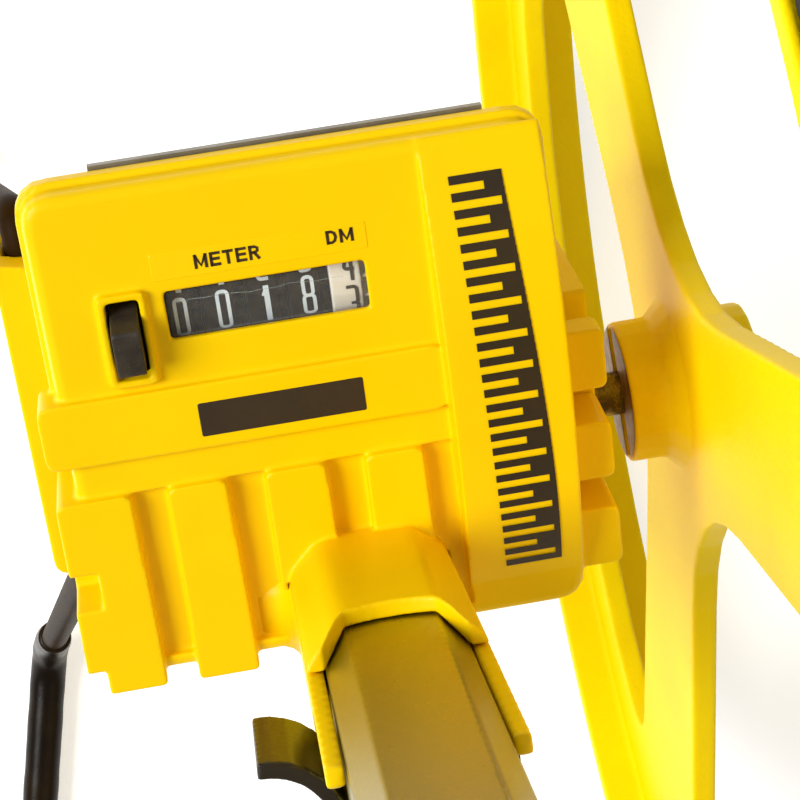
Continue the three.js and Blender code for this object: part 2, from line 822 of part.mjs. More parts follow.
function frontCover() {
  const shell = alongZ(faceOutline(), lowerParting - 2 * faceBevel, faceLevel, 4, faceBevel);
  const belt = alongZ(
    roundedRectangle(-lidLeft - beltReach, -drumFaceLeft, beltLow, beltHigh, beltCorner),
    lidParting,
    beltLevel,
    3,
  );
  const blocks = [
    [upperBlockLow, upperBlockHigh],
    [-middleBlockLow, middleBlockHigh],
    [-lowerBlockLow, -lowerBlockHigh],
  ];
  const sides = blocks.map(([low, high]) => alongZ(
    roundedRectangle(-faceRight - wall, sideWallX, low, high, sideCorner),
    lowerParting,
    sideBlockLevel,
    3,
  ));
  const flange = alongZ(
    roundedRectangle(
      -lidLeft - flangeReach,
      -faceRight + flangeReach,
      partingStep,
      faceTop + flangeReach,
      faceCorner + flangeReach,
    ),
    lidParting,
    lidParting + flangeHeight,
    4,
  );
  const frame = alongZ(
    roundedRectangle(
      -slotLeft - slotFrame,
      -slotRight + slotFrame,
      slotLow - slotFrame,
      slotHigh + slotFrame,
      slotFrameCorner,
    ),
    lidParting,
    beltLevel,
    2,
  );
  const pocket = block(
    -lidLeft - cutOverrun,
    -drumFaceLeft + fitGap,
    -faceBottom + ribFoot,
    ribTop - fitGap,
    pocketLevel,
    2 * beltLevel,
  );
  const hollowLeft = -lidLeft + wall;
  const hollowRight = -faceRight - wall;
  const hollowBack = lowerParting - cutOverrun;
  const upperHollow = block(
    hollowLeft,
    hollowRight,
    ribTop,
    faceTop - wall,
    hollowBack,
    faceLevel - wall,
  );
  const lowerHollow = block(
    hollowLeft,
    hollowRight,
    -faceBottom + wall,
    ribTop + cutOverrun,
    hollowBack,
    pocketLevel - wall,
  );
  const window = block(-windowLeft, -windowRight, windowLow, windowHigh, lidParting, 2 * beltLevel);
  const lensSeat = block(
    -windowLeft - lensFlange,
    -windowRight + lensFlange,
    windowLow - lensFlange,
    windowHigh + lensFlange,
    lidParting,
    faceLevel - wall + lensFlangeThickness + fitGap,
  );
  const slot = block(-slotLeft, -slotRight, slotLow, slotHigh, lidParting, 2 * beltLevel);
  const hoodShell = cut(
    hoodOuter(0, hoodTop + hoodSkirt),
    behind(hoodBack - fitGap / 2, 2 * socketAcross, -hoodTop, 2 * hoodTop),
    hoodArch(),
  );
  const posts = screwPlaces().map(([x, y]) => rodAlongZ(
    screwRadius + fitGap + bossWall, x, y, lowerParting, (y > ribTop ? faceLevel : pocketLevel) - wall / 2,
  ));
  const pilots = screwPlaces().map(([x, y]) => rodAlongZ(
    screwRadius + fitGap, x, y, lowerParting - cutOverrun, pocketLevel - wall,
  ));
  const ribs = faceRibs().map((rib) => cut(rib, ...ribReliefs()));
  const faced = cut(shell, pocket, ...ribReliefs());
  const body = join(faced, rulerDrum(), belt, flange, ...ribs, ...sides, frame);
  const hollowed = cut(body, lowerHollow, upperHollow);
  const whole = join(hollowed, hoodShell, ...posts.map((post) => post.intersect(shell)));
  const cleared = cut(
    whole,
    window,
    lensSeat,
    slot,
    socketBore(-hoodTop, 2 * hoodTop),
    socketOuter(-hoodTop, 2 * hoodTop, fitGap).intersect(
      behind(hoodBack - fitGap / 2, 2 * socketAcross, -hoodTop, hoodTop),
    ),
    ...pilots,
  );
  return cleared.intersect(lidMask());
}

function rearProfile() {
  const step = partingStep + fitGap;
  const underPlate = lidParting - chassisThickness - 2 * fitGap;
  const underLid = lowerParting - fitGap;
  return [
    [-faceBottom, -rearDepth],
    [rearTopLevel, -rearDepth],
    [rearKneeUp, rearKneeOut],
    [rearShoulder, underPlate],
    [step, underPlate],
    [step, underLid],
    [-faceBottom, underLid],
  ];
}

function housingRear() {
  const box = alongX(rounded(rearProfile(), [wall, wall, 0, 0, 0, 0, 0]), -faceLeft, -faceRight, 3);
  const upperHollow = alongX(outline([
    [-faceBottom + wall, -rearDepth + wall],
    [rearTopLevel - wall, -rearDepth + wall],
    [rearKneeUp - wall, rearKneeOut],
    [rearShoulder - wall, lidParting + cutOverrun],
    [-faceBottom + wall, lidParting + cutOverrun],
  ]), -faceLeft + wall, -faceRight - wall);
  const sideBox = block(
    -faceRight - wall, sideWallX, -sideLow, sideHigh, -lowerParting, lowerParting - fitGap,
  );
  const neck = cut(
    socketOuter(tubeFoot - neckFloor, neckTop),
    behind(-socketAcross, hoodBack + fitGap / 2, -neckTop, 2 * neckTop),
  );
  const wingFront = hoodBack + fitGap / 2;
  const wings = cut(
    socketOuter(neckTop - cutOverrun, wingTop),
    behind(-socketAcross, wingFront, 0, 2 * wingTop),
    behind(wingFront + wingWidth, 3 * socketAcross, 0, 2 * wingTop),
  );
  const axleHole = rod(axleRadius + bushWall + fitGap, -faceRight - 2 * wall, cutOverrun, roundSegments);
  const frameSeats = [counterLeft + drumPitch, counterRight - drumPitch].map((x) => rodAlongZ(
    screwRadius + bossWall, x, counterUp - frameMargin, -rearDepth + wall / 2, -frameBack - fitGap,
  ));
  const posts = screwPlaces().map(([x, y]) => rodAlongZ(
    screwHead + bossWall, x, y, -rearDepth + wall / 2, lowerParting - fitGap,
  ).intersect(box));
  const holes = screwPlaces().flatMap(([x, y]) => [
    rodAlongZ(screwRadius + fitGap, x, y, -rearDepth - cutOverrun, lidParting + cutOverrun),
    rodAlongZ(screwHead + fitGap, x, y, -rearDepth - cutOverrun, -rearDepth + screwHeadHeight + wall),
  ]);
  const body = join(cut(join(box, sideBox), upperHollow), neck, wings, ...posts, ...frameSeats);
  const screwHole = rodAcross(screwRadius + fitGap, socketScrewS, tubeW + tubeAcross / 2 - wall, 3 * tubeW);
  return cut(body, socketBore(tubeFoot - fitGap, 2 * wingTop), axleHole, screwHole, ...holes);
}

// A round bar through the back of the socket, square to the tube.
function rodAcross(radius, s, w0, w1) {
  const geometry = new THREE.CylinderGeometry(radius, radius, w1 - w0, 16);
  geometry.translate(-tubeX, -(w0 + w1) / 2, s);
  geometry.rotateX(-handleTilt);
  return solid(geometry);
}

function chassisPlate() {
  const z1 = lidParting - fitGap;
  const z0 = z1 - chassisThickness;
  const left = -faceLeft + wall;
  const right = -faceRight - wall;
  const sheet = block(left, right, partingStep + fitGap, rearShoulder - faceBevel, z0, z1);
  const tabLeft = -(faceLeft + faceRight) / 2 - chassisTab / 2 + chassisTabShift;
  const tabFoot = rearShoulder - wall - faceBevel;
  const tab = block(tabLeft, tabLeft + chassisTab, tabFoot, faceTop + chassisProud, z0, z1);
  const opening = block(
    -slotLeft - wall,
    gearRight + wall,
    counterUp - drumRadius - wall,
    counterUp + drumRadius + fitGap,
    z0 - cutOverrun,
    z1 + cutOverrun,
  );
  const screwHoles = screwPlaces().map(([x, y]) => rodAlongZ(
    screwRadius + fitGap + bossWall + fitGap, x, y, z0 - cutOverrun, z1 + cutOverrun,
  ));
  return cut(join(sheet, tab), opening, ...screwHoles);
}

function windowLens() {
  const seat = faceLevel - wall;
  const flange = block(
    -windowLeft - lensFlange + fitGap,
    -windowRight + lensFlange - fitGap,
    windowLow - lensFlange + fitGap,
    windowHigh + lensFlange - fitGap,
    seat,
    seat + lensFlangeThickness,
  );
  const pane = block(
    -windowLeft + fitGap,
    -windowRight - fitGap,
    windowLow + fitGap,
    windowHigh - fitGap,
    seat,
    seat + lensThickness,
  );
  return join(flange, pane);
}

function counterFrame() {
  const low = counterUp - frameMargin - drumRadius / 2;
  const high = counterUp + frameMargin;
  const topOut = counterOut + frameMargin;
  const backHigh = counterUp + frameShoulder;
  const shortSide = outline([
    [low, -frameBack],
    [backHigh, -frameBack],
    [high, 0],
    [high, topOut],
    [low, topOut],
  ]);
  const left = alongX(shortSide, frameLeft, frameLeft + frameThickness);
  const hub = axleRadius + bushWall + wall;
  const longSide = rounded([
    [-hub, -hub],
    [low, -frameBack],
    [backHigh, -frameBack],
    [high, 0],
    [high, topOut],
    [low, topOut],
    [-hub, hub],
  ], [hub / 2, 0, 0, 0, 0, 0, hub / 2]);
  const right = alongX(longSide, frameRight, frameRight + frameThickness);
  const frameEnd = frameRight + frameThickness;
  const back = block(frameLeft, frameEnd, low, backHigh, -frameBack, -frameBack + frameThickness);
  const bore = shaftRadius + fitGap;
  const shaftHole = rod(bore, 2 * frameLeft, 0, 12).translate([0, counterUp, counterOut]);
  const pinionHole = rod(bore, 2 * frameLeft, 0, 12).translate([0, counterUp, pinionOut]);
  const idlerHole = rod(bore, frameRight - cutOverrun, 0, 12).translate([0, idlerUp, idlerOut]);
  const axleHole = rod(axleRadius + bushWall + fitGap, frameRight - cutOverrun, 0, roundSegments);
  return cut(join(left, right, back), shaftHole, pinionHole, idlerHole, axleHole);
}

function drum() {
  const body = rod(drumRadius, 0, drumWidth, 30);
  const shape = gearOutline(drumGearTeeth, pinionModule, -Math.PI / 2, true);
  const toothed = alongX(shape, drumWidth - fitGap, drumWidth + drumGearWidth);
  return cut(join(body, toothed), rod(shaftRadius + fitGap, -cutOverrun, drumPitch + cutOverrun, 12));
}

function pinion() {
  const phase = Math.PI / 2 + Math.PI / pinionTeeth;
  const body = alongX(gearOutline(pinionTeeth, pinionModule, phase), 0, pinionWidth);
  return cut(body, rod(shaftRadius + fitGap, -cutOverrun, pinionWidth + cutOverrun, 12));
}

function resetLever() {
  const hub = alongX(disc(0, 0, leverHubRadius), -leverWidth / 2, leverWidth / 2, 8);
  const half = leverArm / 2;
  const arm = alongX(rounded([
    [-half, 0],
    [half, 0],
    [half, leverReach],
    [-half, leverReach],
  ], [0, 0, leverCorner, leverCorner]), -leverWidth / 2, leverWidth / 2, 3);
  return cut(join(hub, arm), rod(shaftRadius + fitGap, -leverWidth, leverWidth, 16));
}

function coverScrews() {
  return screwPlaces().map(([x, y], i) => piece(`cover_screw_${i + 1}`, join(
    rodAlongZ(screwHead, x, y, -rearDepth + wall - fitGap, -rearDepth + wall + screwHeadHeight - fitGap, 12),
    rodAlongZ(screwRadius, x, y, -rearDepth + wall, pocketLevel - wall - fitGap, 10),
  ), bareSteel));
}

function bush(x0, x1) {
  const outer = axleRadius + bushWall;
  const inner = axleRadius + fitGap;
  const barrel = ring(inner, outer, x0, x1, roundSegments);
  return join(barrel, ring(inner, outer + bushFlange, x0, x0 + bushFlangeThickness, roundSegments));
}

// Stand cover: a moulded rail over the pivot of the bent rod.
function standCover() {
  const outerX = -rodX - rodRadius - fitGap - coverWall;
  const innerX = -faceLeft - fitGap;
  const rail = alongZ(
    rounded(
      [[outerX, coverLow], [innerX, coverLow], [innerX, coverHigh], [outerX, coverHigh + coverHorn]],
      [coverCorner, 0, 0, fitGap],
    ),
    -coverHalfDepth,
    coverHalfDepth,
  );
  const groove = block(
    -rodX - rodRadius - fitGap,
    -rodX + rodRadius + fitGap,
    coverLow - cutOverrun,
    coverHigh + 2 * cutOverrun,
    -rodRadius - fitGap,
    rodRadius + fitGap,
  );
  return cut(rail, groove);
}

function standRod() {
  const lean = (y) => new THREE.Vector3(-rodX, y * Math.cos(headLean), y * Math.sin(headLean) + treadRadius);
  const ground = (x, y) => new THREE.Vector3(x, y, rodRadius + sleeveWall + fitGap);
  return [
    ground(-rearEndLeft, -rearEndBack),
    ground(-rearHeelLeft, -rearHeelBack),
    lean(rodLegLow),
    lean(rodLegHigh),
    ground(-frontHeelLeft, frontHeelReach),
    ground(-frontEndLeft, frontEndReach),
  ];
}

// A sleeve over the end of the rod, closed past the rod's tip at the first point.
function footSleeve(path) {
  const tip = path[0].clone().sub(path[1]).normalize();
  const mouth = path[path.length - 1].clone().sub(path[path.length - 2]).normalize();
  const outerPath = path.map((point) => point.clone());
  outerPath[0].addScaledVector(tip, sleeveWall + fitGap);
  const borePath = path.map((point) => point.clone());
  borePath[0].addScaledVector(tip, fitGap);
  borePath[path.length - 1].addScaledVector(mouth, cutOverrun);
  const outer = bentBar(outerPath, rodRadius + fitGap + sleeveWall, [footBend], 12);
  return cut(outer, bentBar(borePath, rodRadius + fitGap, [footBend], 12));
}

function tube(s0, s1) {
  const shape = octagon(-tubeX, -tubeW, tubeAcross, tubeBevel);
  shape.holes.push(octagon(-tubeX, -tubeW, tubeAcross - 2 * tubeWall, tubeBevel - tubeWall * bevelShare));
  return alongZ(shape, s0, s1);
}

// The clip is a strip bent round the back of the tube, with a hook on its left.
function standClip() {
  const half = tubeAcross / 2 + fitGap + clipThickness / 2;
  const left = -tubeX - half;
  const right = -tubeX + half;
  const back = -tubeW - half;
  const front = -hoodBack - wingWidth - 2 * fitGap - clipThickness;
  const bevel = tubeBevel;
  const hook = new THREE.QuadraticBezierCurve(
    new THREE.Vector2(left - clipHookReach, front + clipHookRise),
    new THREE.Vector2(left - clipHookBend, front + clipHookRise),
    new THREE.Vector2(left, front - clipHookDrop),
  );
  const line = [
    ...hook.getPoints(6),
    new THREE.Vector2(left, back + bevel),
    new THREE.Vector2(left + bevel, back),
    new THREE.Vector2(right - bevel, back),
    new THREE.Vector2(right, back + bevel),
    new THREE.Vector2(right, front - clipHookRise),
  ];
  return alongZ(strip(line, clipThickness), clipLow, clipHigh);
}

// A strip of even thickness along a line.
function strip(line, thickness) {
  const sides = line.map((point, i) => {
    const before = line[Math.max(i - 1, 0)];
    const after = line[Math.min(i + 1, line.length - 1)];
    const inward = point.clone().sub(before).normalize();
    const outward = after.clone().sub(point).normalize();
    const direction = inward.add(outward).normalize();
    const bendCosine = Math.abs(direction.dot(outward.lengthSq() > 0 ? outward : direction));
    const offset = thickness / 2 / Math.max(bendCosine, sharpestBendShare);
    return new THREE.Vector2(-direction.y, direction.x).multiplyScalar(offset);
  });
  const near = line.map((point, i) => point.clone().add(sides[i]));
  const far = line.map((point, i) => point.clone().sub(sides[i])).reverse();
  return new THREE.Shape([...near, ...far]);
}

const yokeAcross = boreAcross + 2 * yokeWall;
const pinW = tubeW + foldPinOffset;

function yokeBody(s0, s1) {
  const half = yokeAcross / 2;
  const shape = roundedRectangle(-tubeX - half, -tubeX + half, -tubeW - half, -tubeW + half, yokeCorner);
  return alongZ(shape, s0, s1, 4);
}

function tubeBore(s0, s1) {
  return alongZ(octagon(-tubeX, -tubeW, boreAcross, boreBevel), s0, s1);
}

// An ear round the fold pin, reaching back from the yoke.
function foldEar(x0, x1, direction) {
  const root = -tubeW - yokeAcross / 2 + yokeWall;
  const eye = alongX(disc(-pinW, foldS, earRadius), x0, x1, 8);
  const arm = alongX(outline([
    [root, foldS + direction * fitGap / 2],
    [-pinW, foldS + direction * fitGap / 2],
    [-pinW - earRadius * Math.SQRT1_2, foldS + direction * earRadius * Math.SQRT1_2],
    [root, foldS + direction * 3 * earRadius],
  ]), x0, x1);
  return join(eye, arm);
}

function pinBore() {
  return rod(foldPinRadius + fitGap, -2 * tubeX, 0, 12).translate([0, -pinW, foldS]);
}

function lowerYoke() {
  const body = yokeBody(foldS - yokeLength, foldS - fitGap / 2);
  const outerX = yokeAcross / 2 - yokeWall / 2;
  const innerX = outerX - earWidth;
  const ears = [
    foldEar(-tubeX - outerX, -tubeX - innerX, -1),
    foldEar(-tubeX + innerX, -tubeX + outerX, -1),
  ];
  const bore = tubeBore(foldS - yokeLength - cutOverrun, foldS - yokeWall);
  return cut(join(body, ...ears), bore, latchChannel(), pinBore());
}

function latchChannel() {
  const front = -tubeW + yokeAcross / 2;
  return block(
    -tubeX - latchWidth / 2 - fitGap,
    -tubeX + latchWidth / 2 + fitGap,
    front - latchThickness / 2 - fitGap,
    front + cutOverrun,
    foldS - latchNose - fitGap,
    foldS + latchLength + latchTravel + fitGap,
  );
}

function upperYoke() {
  const body = yokeBody(foldS + fitGap / 2, foldS + yokeLength);
  const innerX = yokeAcross / 2 - yokeWall / 2 - earWidth - fitGap;
  const ear = foldEar(-tubeX - innerX, -tubeX + innerX, 1);
  const bore = tubeBore(foldS + yokeWall, foldS + yokeLength + cutOverrun);
  return cut(join(body, ear), bore, latchChannel(), pinBore());
}

function latchButton() {
  const front = -tubeW + yokeAcross / 2;
  const plate = block(
    -tubeX - latchWidth / 2,
    -tubeX + latchWidth / 2,
    front - latchThickness / 2,
    front + latchThickness / 2,
    foldS - latchNose,
    foldS + latchLength,
  );
  const grips = latchGripShares.map((share) => block(
    -tubeX - latchWidth / 2,
    -tubeX + latchWidth / 2,
    front,
    front + latchThickness,
    foldS + share * latchLength - latchThickness / 3,
    foldS + share * latchLength + latchThickness / 3,
  ));
  return join(plate, ...grips);
}

function ovalRing(s, halfX, halfY, shift = 0) {
  const sides = 16;
  return Array.from({ length: sides }, (_, i) => {
    const angle = (2 * Math.PI * i) / sides;
    return new THREE.Vector3(
      -tubeX + halfX * Math.cos(angle),
      -tubeW + shift + halfY * Math.sin(angle),
      s,
    );
  });
}

const gripShares = [[0, 0.94], [0.06, 1], [0.3, 1.02], [0.55, 0.97], [0.8, 1.04], [0.94, 1.08], [1, 1]];

function gripBody(from, to, extra) {
  const length = gripHigh - gripLow;
  const rings = gripShares.map(([share, width]) => ovalRing(
    THREE.MathUtils.clamp(gripLow + share * length, from, to),
    gripHalfWidth * width + extra,
    gripHalfDepth * width + extra,
  ));
  return loft(rings);
}

function gripCore() {
  const full = gripBody(gripLow, gripHigh, gripCoverThickness + fitGap);
  const slim = gripBody(gripLow, gripHigh, 0);
  const band = alongZ(
    disc(-tubeX, -tubeW, 2 * gripHalfDepth),
    gripLow + gripCoverInset,
    gripHigh - gripCoverInset,
    8,
  );
  const body = cut(full, cut(band, slim));
  return cut(body, tubeBore(gripLow - cutOverrun, upperTubeTop + fitGap));
}

function gripCover() {
  const full = gripBody(gripLow, gripHigh, gripCoverThickness + fitGap);
  const slim = gripBody(gripLow, gripHigh, fitGap);
  const band = alongZ(
    disc(-tubeX, -tubeW, 2 * gripHalfDepth),
    gripLow + gripCoverInset + fitGap,
    gripHigh - gripCoverInset - fitGap,
    8,
  );
  return band.intersect(cut(full, slim));
}

function endCap() {
  const z0 = gripHigh + fitGap;
  return loft([
    ovalRing(z0, gripHalfWidth + gripCoverThickness, gripHalfDepth + gripCoverThickness),
    ovalRing(z0 + capHeight / 2, gripHalfWidth, gripHalfDepth),
    ovalRing(z0 + capHeight, gripHalfWidth * capTopShare, gripHalfDepth * capTopShare),
  ]);
}

// The wheel, its axle and what turns with them
function wheelGroup() {
  const group = new THREE.Group();
  group.add(piece('wheel_casting', wheelCasting(), powderCoat));
  group.add(piece('tyre', tyre(), rubber));
  group.add(piece('axle', axle(), yellowSteel));
  group.add(piece('key_pin', keyPin(), bareSteel));
  group.add(piece('hub_washer', hubWasher(), bareSteel));
  group.add(piece('hub_nut', hubNut(), bareSteel));
  return group;
}

function gearTrain() {
  const group = new THREE.Group();
  const axleBore = axleRadius + fitGap;
  const shaftBore = shaftRadius + fitGap;
  group.add(piece('axle_gear', gear(axleGearTeeth, trainAngle, axleBore), whitePlastic));
  const idlerPhase = trainAngle + Math.PI + Math.PI / idlerTeeth;
  const idler = piece('idler_gear', gear(idlerTeeth, idlerPhase, shaftBore), whitePlastic);
  idler.position.set(0, idlerUp, idlerOut);
  group.add(idler);
  const last = piece('drum_gear', gear(axleGearTeeth, trainAngle + Math.PI, shaftBore), whitePlastic);
  last.position.set(0, counterUp, counterOut);
  group.add(last);
  return group;
}

function counterGroup() {
  const group = new THREE.Group();
  group.add(piece('counter_frame', counterFrame(), bareSteel));
  const shaft = piece('drum_shaft', rod(shaftRadius, -slotLeft - fitGap, gearRight + pinHead, 16), bareSteel);
  shaft.position.set(0, counterUp, counterOut);
  const pinionRod = rod(shaftRadius, frameLeft - pinHead, gearLeft + pinHead, 16);
  const pinionShaft = piece('pinion_shaft', pinionRod, bareSteel);
  pinionShaft.position.set(0, counterUp, pinionOut);
  const idlerRod = rod(shaftRadius, frameRight - pinHead, gearRight + pinHead, 16);
  const idlerPin = piece('idler_pin', idlerRod, bareSteel);
  idlerPin.position.set(0, idlerUp, idlerOut);
  group.add(shaft, pinionShaft, idlerPin);
  const names = ['drum_thousands', 'drum_hundreds', 'drum_tens', 'drum_metres', 'drum_decimetres'];
  names.forEach((name, i) => {
    const x = counterLeft + i * drumPitch;
    const wheel = piece(name, drum(), i === drumCount - 1 ? whitePlastic : blackPlastic);
    wheel.position.set(x, counterUp, counterOut);
    group.add(wheel);
    if (i < drumCount - 1) {
      const small = piece(`pinion_${i + 1}`, pinion(), whitePlastic);
      small.position.set(x + drumWidth + fitGap, counterUp, pinionOut);
      group.add(small);
    }
  });
  const lever = piece('reset_lever', resetLever(), blackPlastic);
  lever.position.set(-(slotLeft + slotRight) / 2, counterUp, counterOut);
  lever.rotation.x = leverRest;
  group.add(lever);
  return group;
}

function headGroup() {
  const group = new THREE.Group();
  group.rotation.x = headLean;
  group.add(piece('front_cover', frontCover(), mouldedYellow));
  group.add(piece('housing_rear', housingRear(), mouldedYellow));
  group.add(piece('chassis_plate', chassisPlate(), bareSteel));
  group.add(piece('window_lens', windowLens(), clearPlastic));
  group.add(...coverScrews());
  const outerSeat = -faceRight - wall - bushFlangeThickness - fitGap;
  const innerSeat = frameRight - bushFlangeThickness - fitGap;
  group.add(piece('outer_bush', bush(outerSeat, sideWallX - fitGap), bearingBrass));
  group.add(piece('inner_bush', bush(innerSeat, frameRight + frameThickness), bearingBrass));
  group.add(piece('stand_cover', standCover(), mouldedYellow));
  group.add(gearTrain(), counterGroup(), handleGroup());
  return group;
}

function handleGroup() {
  const group = new THREE.Group();
  group.rotation.x = -handleTilt;
  group.add(piece('lower_tube', tube(tubeFoot, foldS - yokeWall - fitGap), satinTube));
  group.add(piece('stand_clip', standClip(), blackPlastic));
  group.add(piece('lower_yoke', lowerYoke(), blackPlastic));
  group.add(piece('upper_yoke', upperYoke(), blackPlastic));
  group.add(piece('latch_button', latchButton(), mouldedYellow));
  group.add(piece('upper_tube', tube(foldS + yokeWall + fitGap, upperTubeTop), satinTube));
  group.add(piece('grip_core', gripCore(), mouldedYellow));
  group.add(piece('grip_cover', gripCover(), rubber));
  group.add(piece('end_cap', endCap(), blackPlastic));
  const half = yokeAcross / 2;
  const pin = piece('fold_pin', rod(foldPinRadius, -tubeX - half, -tubeX + half, 16), bareSteel);
  pin.position.set(0, -pinW, foldS);
  group.add(pin);
  return group;
}

function standGroup() {
  const group = new THREE.Group();
  const points = standRod();
  const frontTip = points[points.length - 1];
  const frontMouth = frontTip.clone().lerp(points[points.length - 2], 1 - frontSleeveShare);
  const [rearTip, rearHeel, legLow] = points;
  const rearMouth = rearHeel.clone().add(legLow.clone().sub(rearHeel).setLength(rearSleeveRise));
  group.add(piece('stand_rod', bentBar(points, rodRadius, [footBend, rodBend, rodBend, footBend]), blackRod));
  group.add(piece('rear_sleeve', footSleeve([rearTip, rearHeel, rearMouth]), rubber));
  group.add(piece('front_sleeve', footSleeve([frontTip, frontMouth]), rubber));
  return group;
}

const axleGroup = new THREE.Group();
axleGroup.add(wheelGroup(), headGroup());
axleGroup.position.set(0, 0, treadRadius);

const measuringWheel = new THREE.Group();
measuringWheel.add(axleGroup, standGroup());
measuringWheel.updateMatrixWorld(true);
const bounds = new THREE.Box3().setFromObject(measuringWheel);
const centre = bounds.getCenter(new THREE.Vector3());
measuringWheel.position.set(-centre.x, -centre.y, -bounds.min.z);

export default measuringWheel;
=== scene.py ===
import json
import math

import bpy
from mathutils import Matrix, Vector


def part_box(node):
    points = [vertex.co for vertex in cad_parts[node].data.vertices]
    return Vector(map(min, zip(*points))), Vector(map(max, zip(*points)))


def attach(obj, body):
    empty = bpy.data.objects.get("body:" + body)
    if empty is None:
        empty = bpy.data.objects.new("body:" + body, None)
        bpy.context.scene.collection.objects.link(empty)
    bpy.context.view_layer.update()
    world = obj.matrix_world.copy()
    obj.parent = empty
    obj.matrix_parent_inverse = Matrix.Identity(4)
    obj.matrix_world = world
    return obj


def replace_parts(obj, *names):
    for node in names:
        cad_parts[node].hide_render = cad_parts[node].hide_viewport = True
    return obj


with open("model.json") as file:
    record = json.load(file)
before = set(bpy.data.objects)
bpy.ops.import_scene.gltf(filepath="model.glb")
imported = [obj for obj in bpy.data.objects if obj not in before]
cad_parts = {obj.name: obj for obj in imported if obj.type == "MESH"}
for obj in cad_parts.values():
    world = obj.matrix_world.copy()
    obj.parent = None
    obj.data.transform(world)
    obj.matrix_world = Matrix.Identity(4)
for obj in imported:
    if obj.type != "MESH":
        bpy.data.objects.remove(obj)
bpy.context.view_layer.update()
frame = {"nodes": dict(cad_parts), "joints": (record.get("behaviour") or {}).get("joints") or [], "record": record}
nodes = frame["nodes"]
joints = {j["name"]: j for j in frame["joints"]}

# The head's face frame in the row frame: x along the axle, y up the face, z out of it, in millimetres
HUB = Vector(joints["wheel_spin"]["pos_m"])
LEAN = math.radians(22)
TILT = math.radians(13.5)
FACE = Matrix.Translation(HUB) @ Matrix.Rotation(LEAN, 4, "X") @ Matrix.Scale(0.001, 4)
GRIP = FACE @ Matrix.Rotation(-TILT, 4, "X")
SHAFT = Matrix.Translation(HUB) @ Matrix.Scale(0.001, 4)
COUNTER = Vector((0, 40.3, 12.9))

LEVELS = {"face": 28.5, "belt": 30.0}


def srgb(red, green, blue):
    """A linear colour from the 0 to 255 numbers of a picture."""
    def linear(c):
        c = c / 255
        return c / 12.92 if c <= 0.04045 else ((c + 0.055) / 1.055) ** 2.4
    return (linear(red), linear(green), linear(blue), 1.0)


def material(name, colour, other, roughness=(0.3, 0.4), metallic=0.0, patch=40.0, contrast=1.0,
             grain=2500.0, bump=0.00002, coat=0.0, edge_tone=None, edge_tone_at=(0.53, 0.6), specular=0.5):
    """Two colours blended by a broad noise, with grain in bump and roughness, and another colour on sharp outer
    edges if asked.
    """
    m = bpy.data.materials.new(name)
    m.use_nodes = True
    tree = m.node_tree
    shader = tree.nodes["Principled BSDF"]
    shader.inputs["Metallic"].default_value = metallic
    shader.inputs["Coat Weight"].default_value = coat
    shader.inputs["Coat Roughness"].default_value = 0.12
    shader.inputs["Specular IOR Level"].default_value = specular
    place = tree.nodes.new("ShaderNodeTexCoord")
    broad = tree.nodes.new("ShaderNodeTexNoise")
    broad.inputs["Scale"].default_value = patch
    broad.inputs["Detail"].default_value = 4.0
    tree.links.new(place.outputs["Object"], broad.inputs["Vector"])
    spread = tree.nodes.new("ShaderNodeMapRange")
    spread.inputs["From Min"].default_value = 0.5 - 0.2 / contrast
    spread.inputs["From Max"].default_value = 0.5 + 0.2 / contrast
    tree.links.new(broad.outputs["Fac"], spread.inputs["Value"])
    blend = tree.nodes.new("ShaderNodeMix")
    blend.data_type = "RGBA"
    blend.inputs[6].default_value = colour
    blend.inputs[7].default_value = other
    tree.links.new(spread.outputs["Result"], blend.inputs[0])
    result = blend.outputs[2]
    fine = tree.nodes.new("ShaderNodeTexNoise")
    fine.inputs["Scale"].default_value = grain
    fine.inputs["Detail"].default_value = 3.0
    tree.links.new(place.outputs["Object"], fine.inputs["Vector"])
    if edge_tone is not None:
        edge = tree.nodes.new("ShaderNodeNewGeometry")
        mask = tree.nodes.new("ShaderNodeMapRange")
        mask.inputs["From Min"].default_value = edge_tone_at[0]
        mask.inputs["From Max"].default_value = edge_tone_at[1]
        tree.links.new(edge.outputs["Pointiness"], mask.inputs["Value"])
        toned_edges = tree.nodes.new("ShaderNodeMix")
        toned_edges.data_type = "RGBA"
        toned_edges.inputs[7].default_value = edge_tone
        tree.links.new(mask.outputs["Result"], toned_edges.inputs[0])
        tree.links.new(result, toned_edges.inputs[6])
        result = toned_edges.outputs[2]
    tree.links.new(result, shader.inputs["Base Color"])
    gloss = tree.nodes.new("ShaderNodeMapRange")
    gloss.inputs["To Min"].default_value = roughness[0]
    gloss.inputs["To Max"].default_value = roughness[1]
    tree.links.new(fine.outputs["Fac"], gloss.inputs["Value"])
    tree.links.new(gloss.outputs["Result"], shader.inputs["Roughness"])
    relief = tree.nodes.new("ShaderNodeBump")
    relief.inputs["Distance"].default_value = bump
    relief.inputs["Strength"].default_value = 1.0
    tree.links.new(fine.outputs["Fac"], relief.inputs["Height"])
    tree.links.new(relief.outputs["Normal"], shader.inputs["Normal"])
    return m


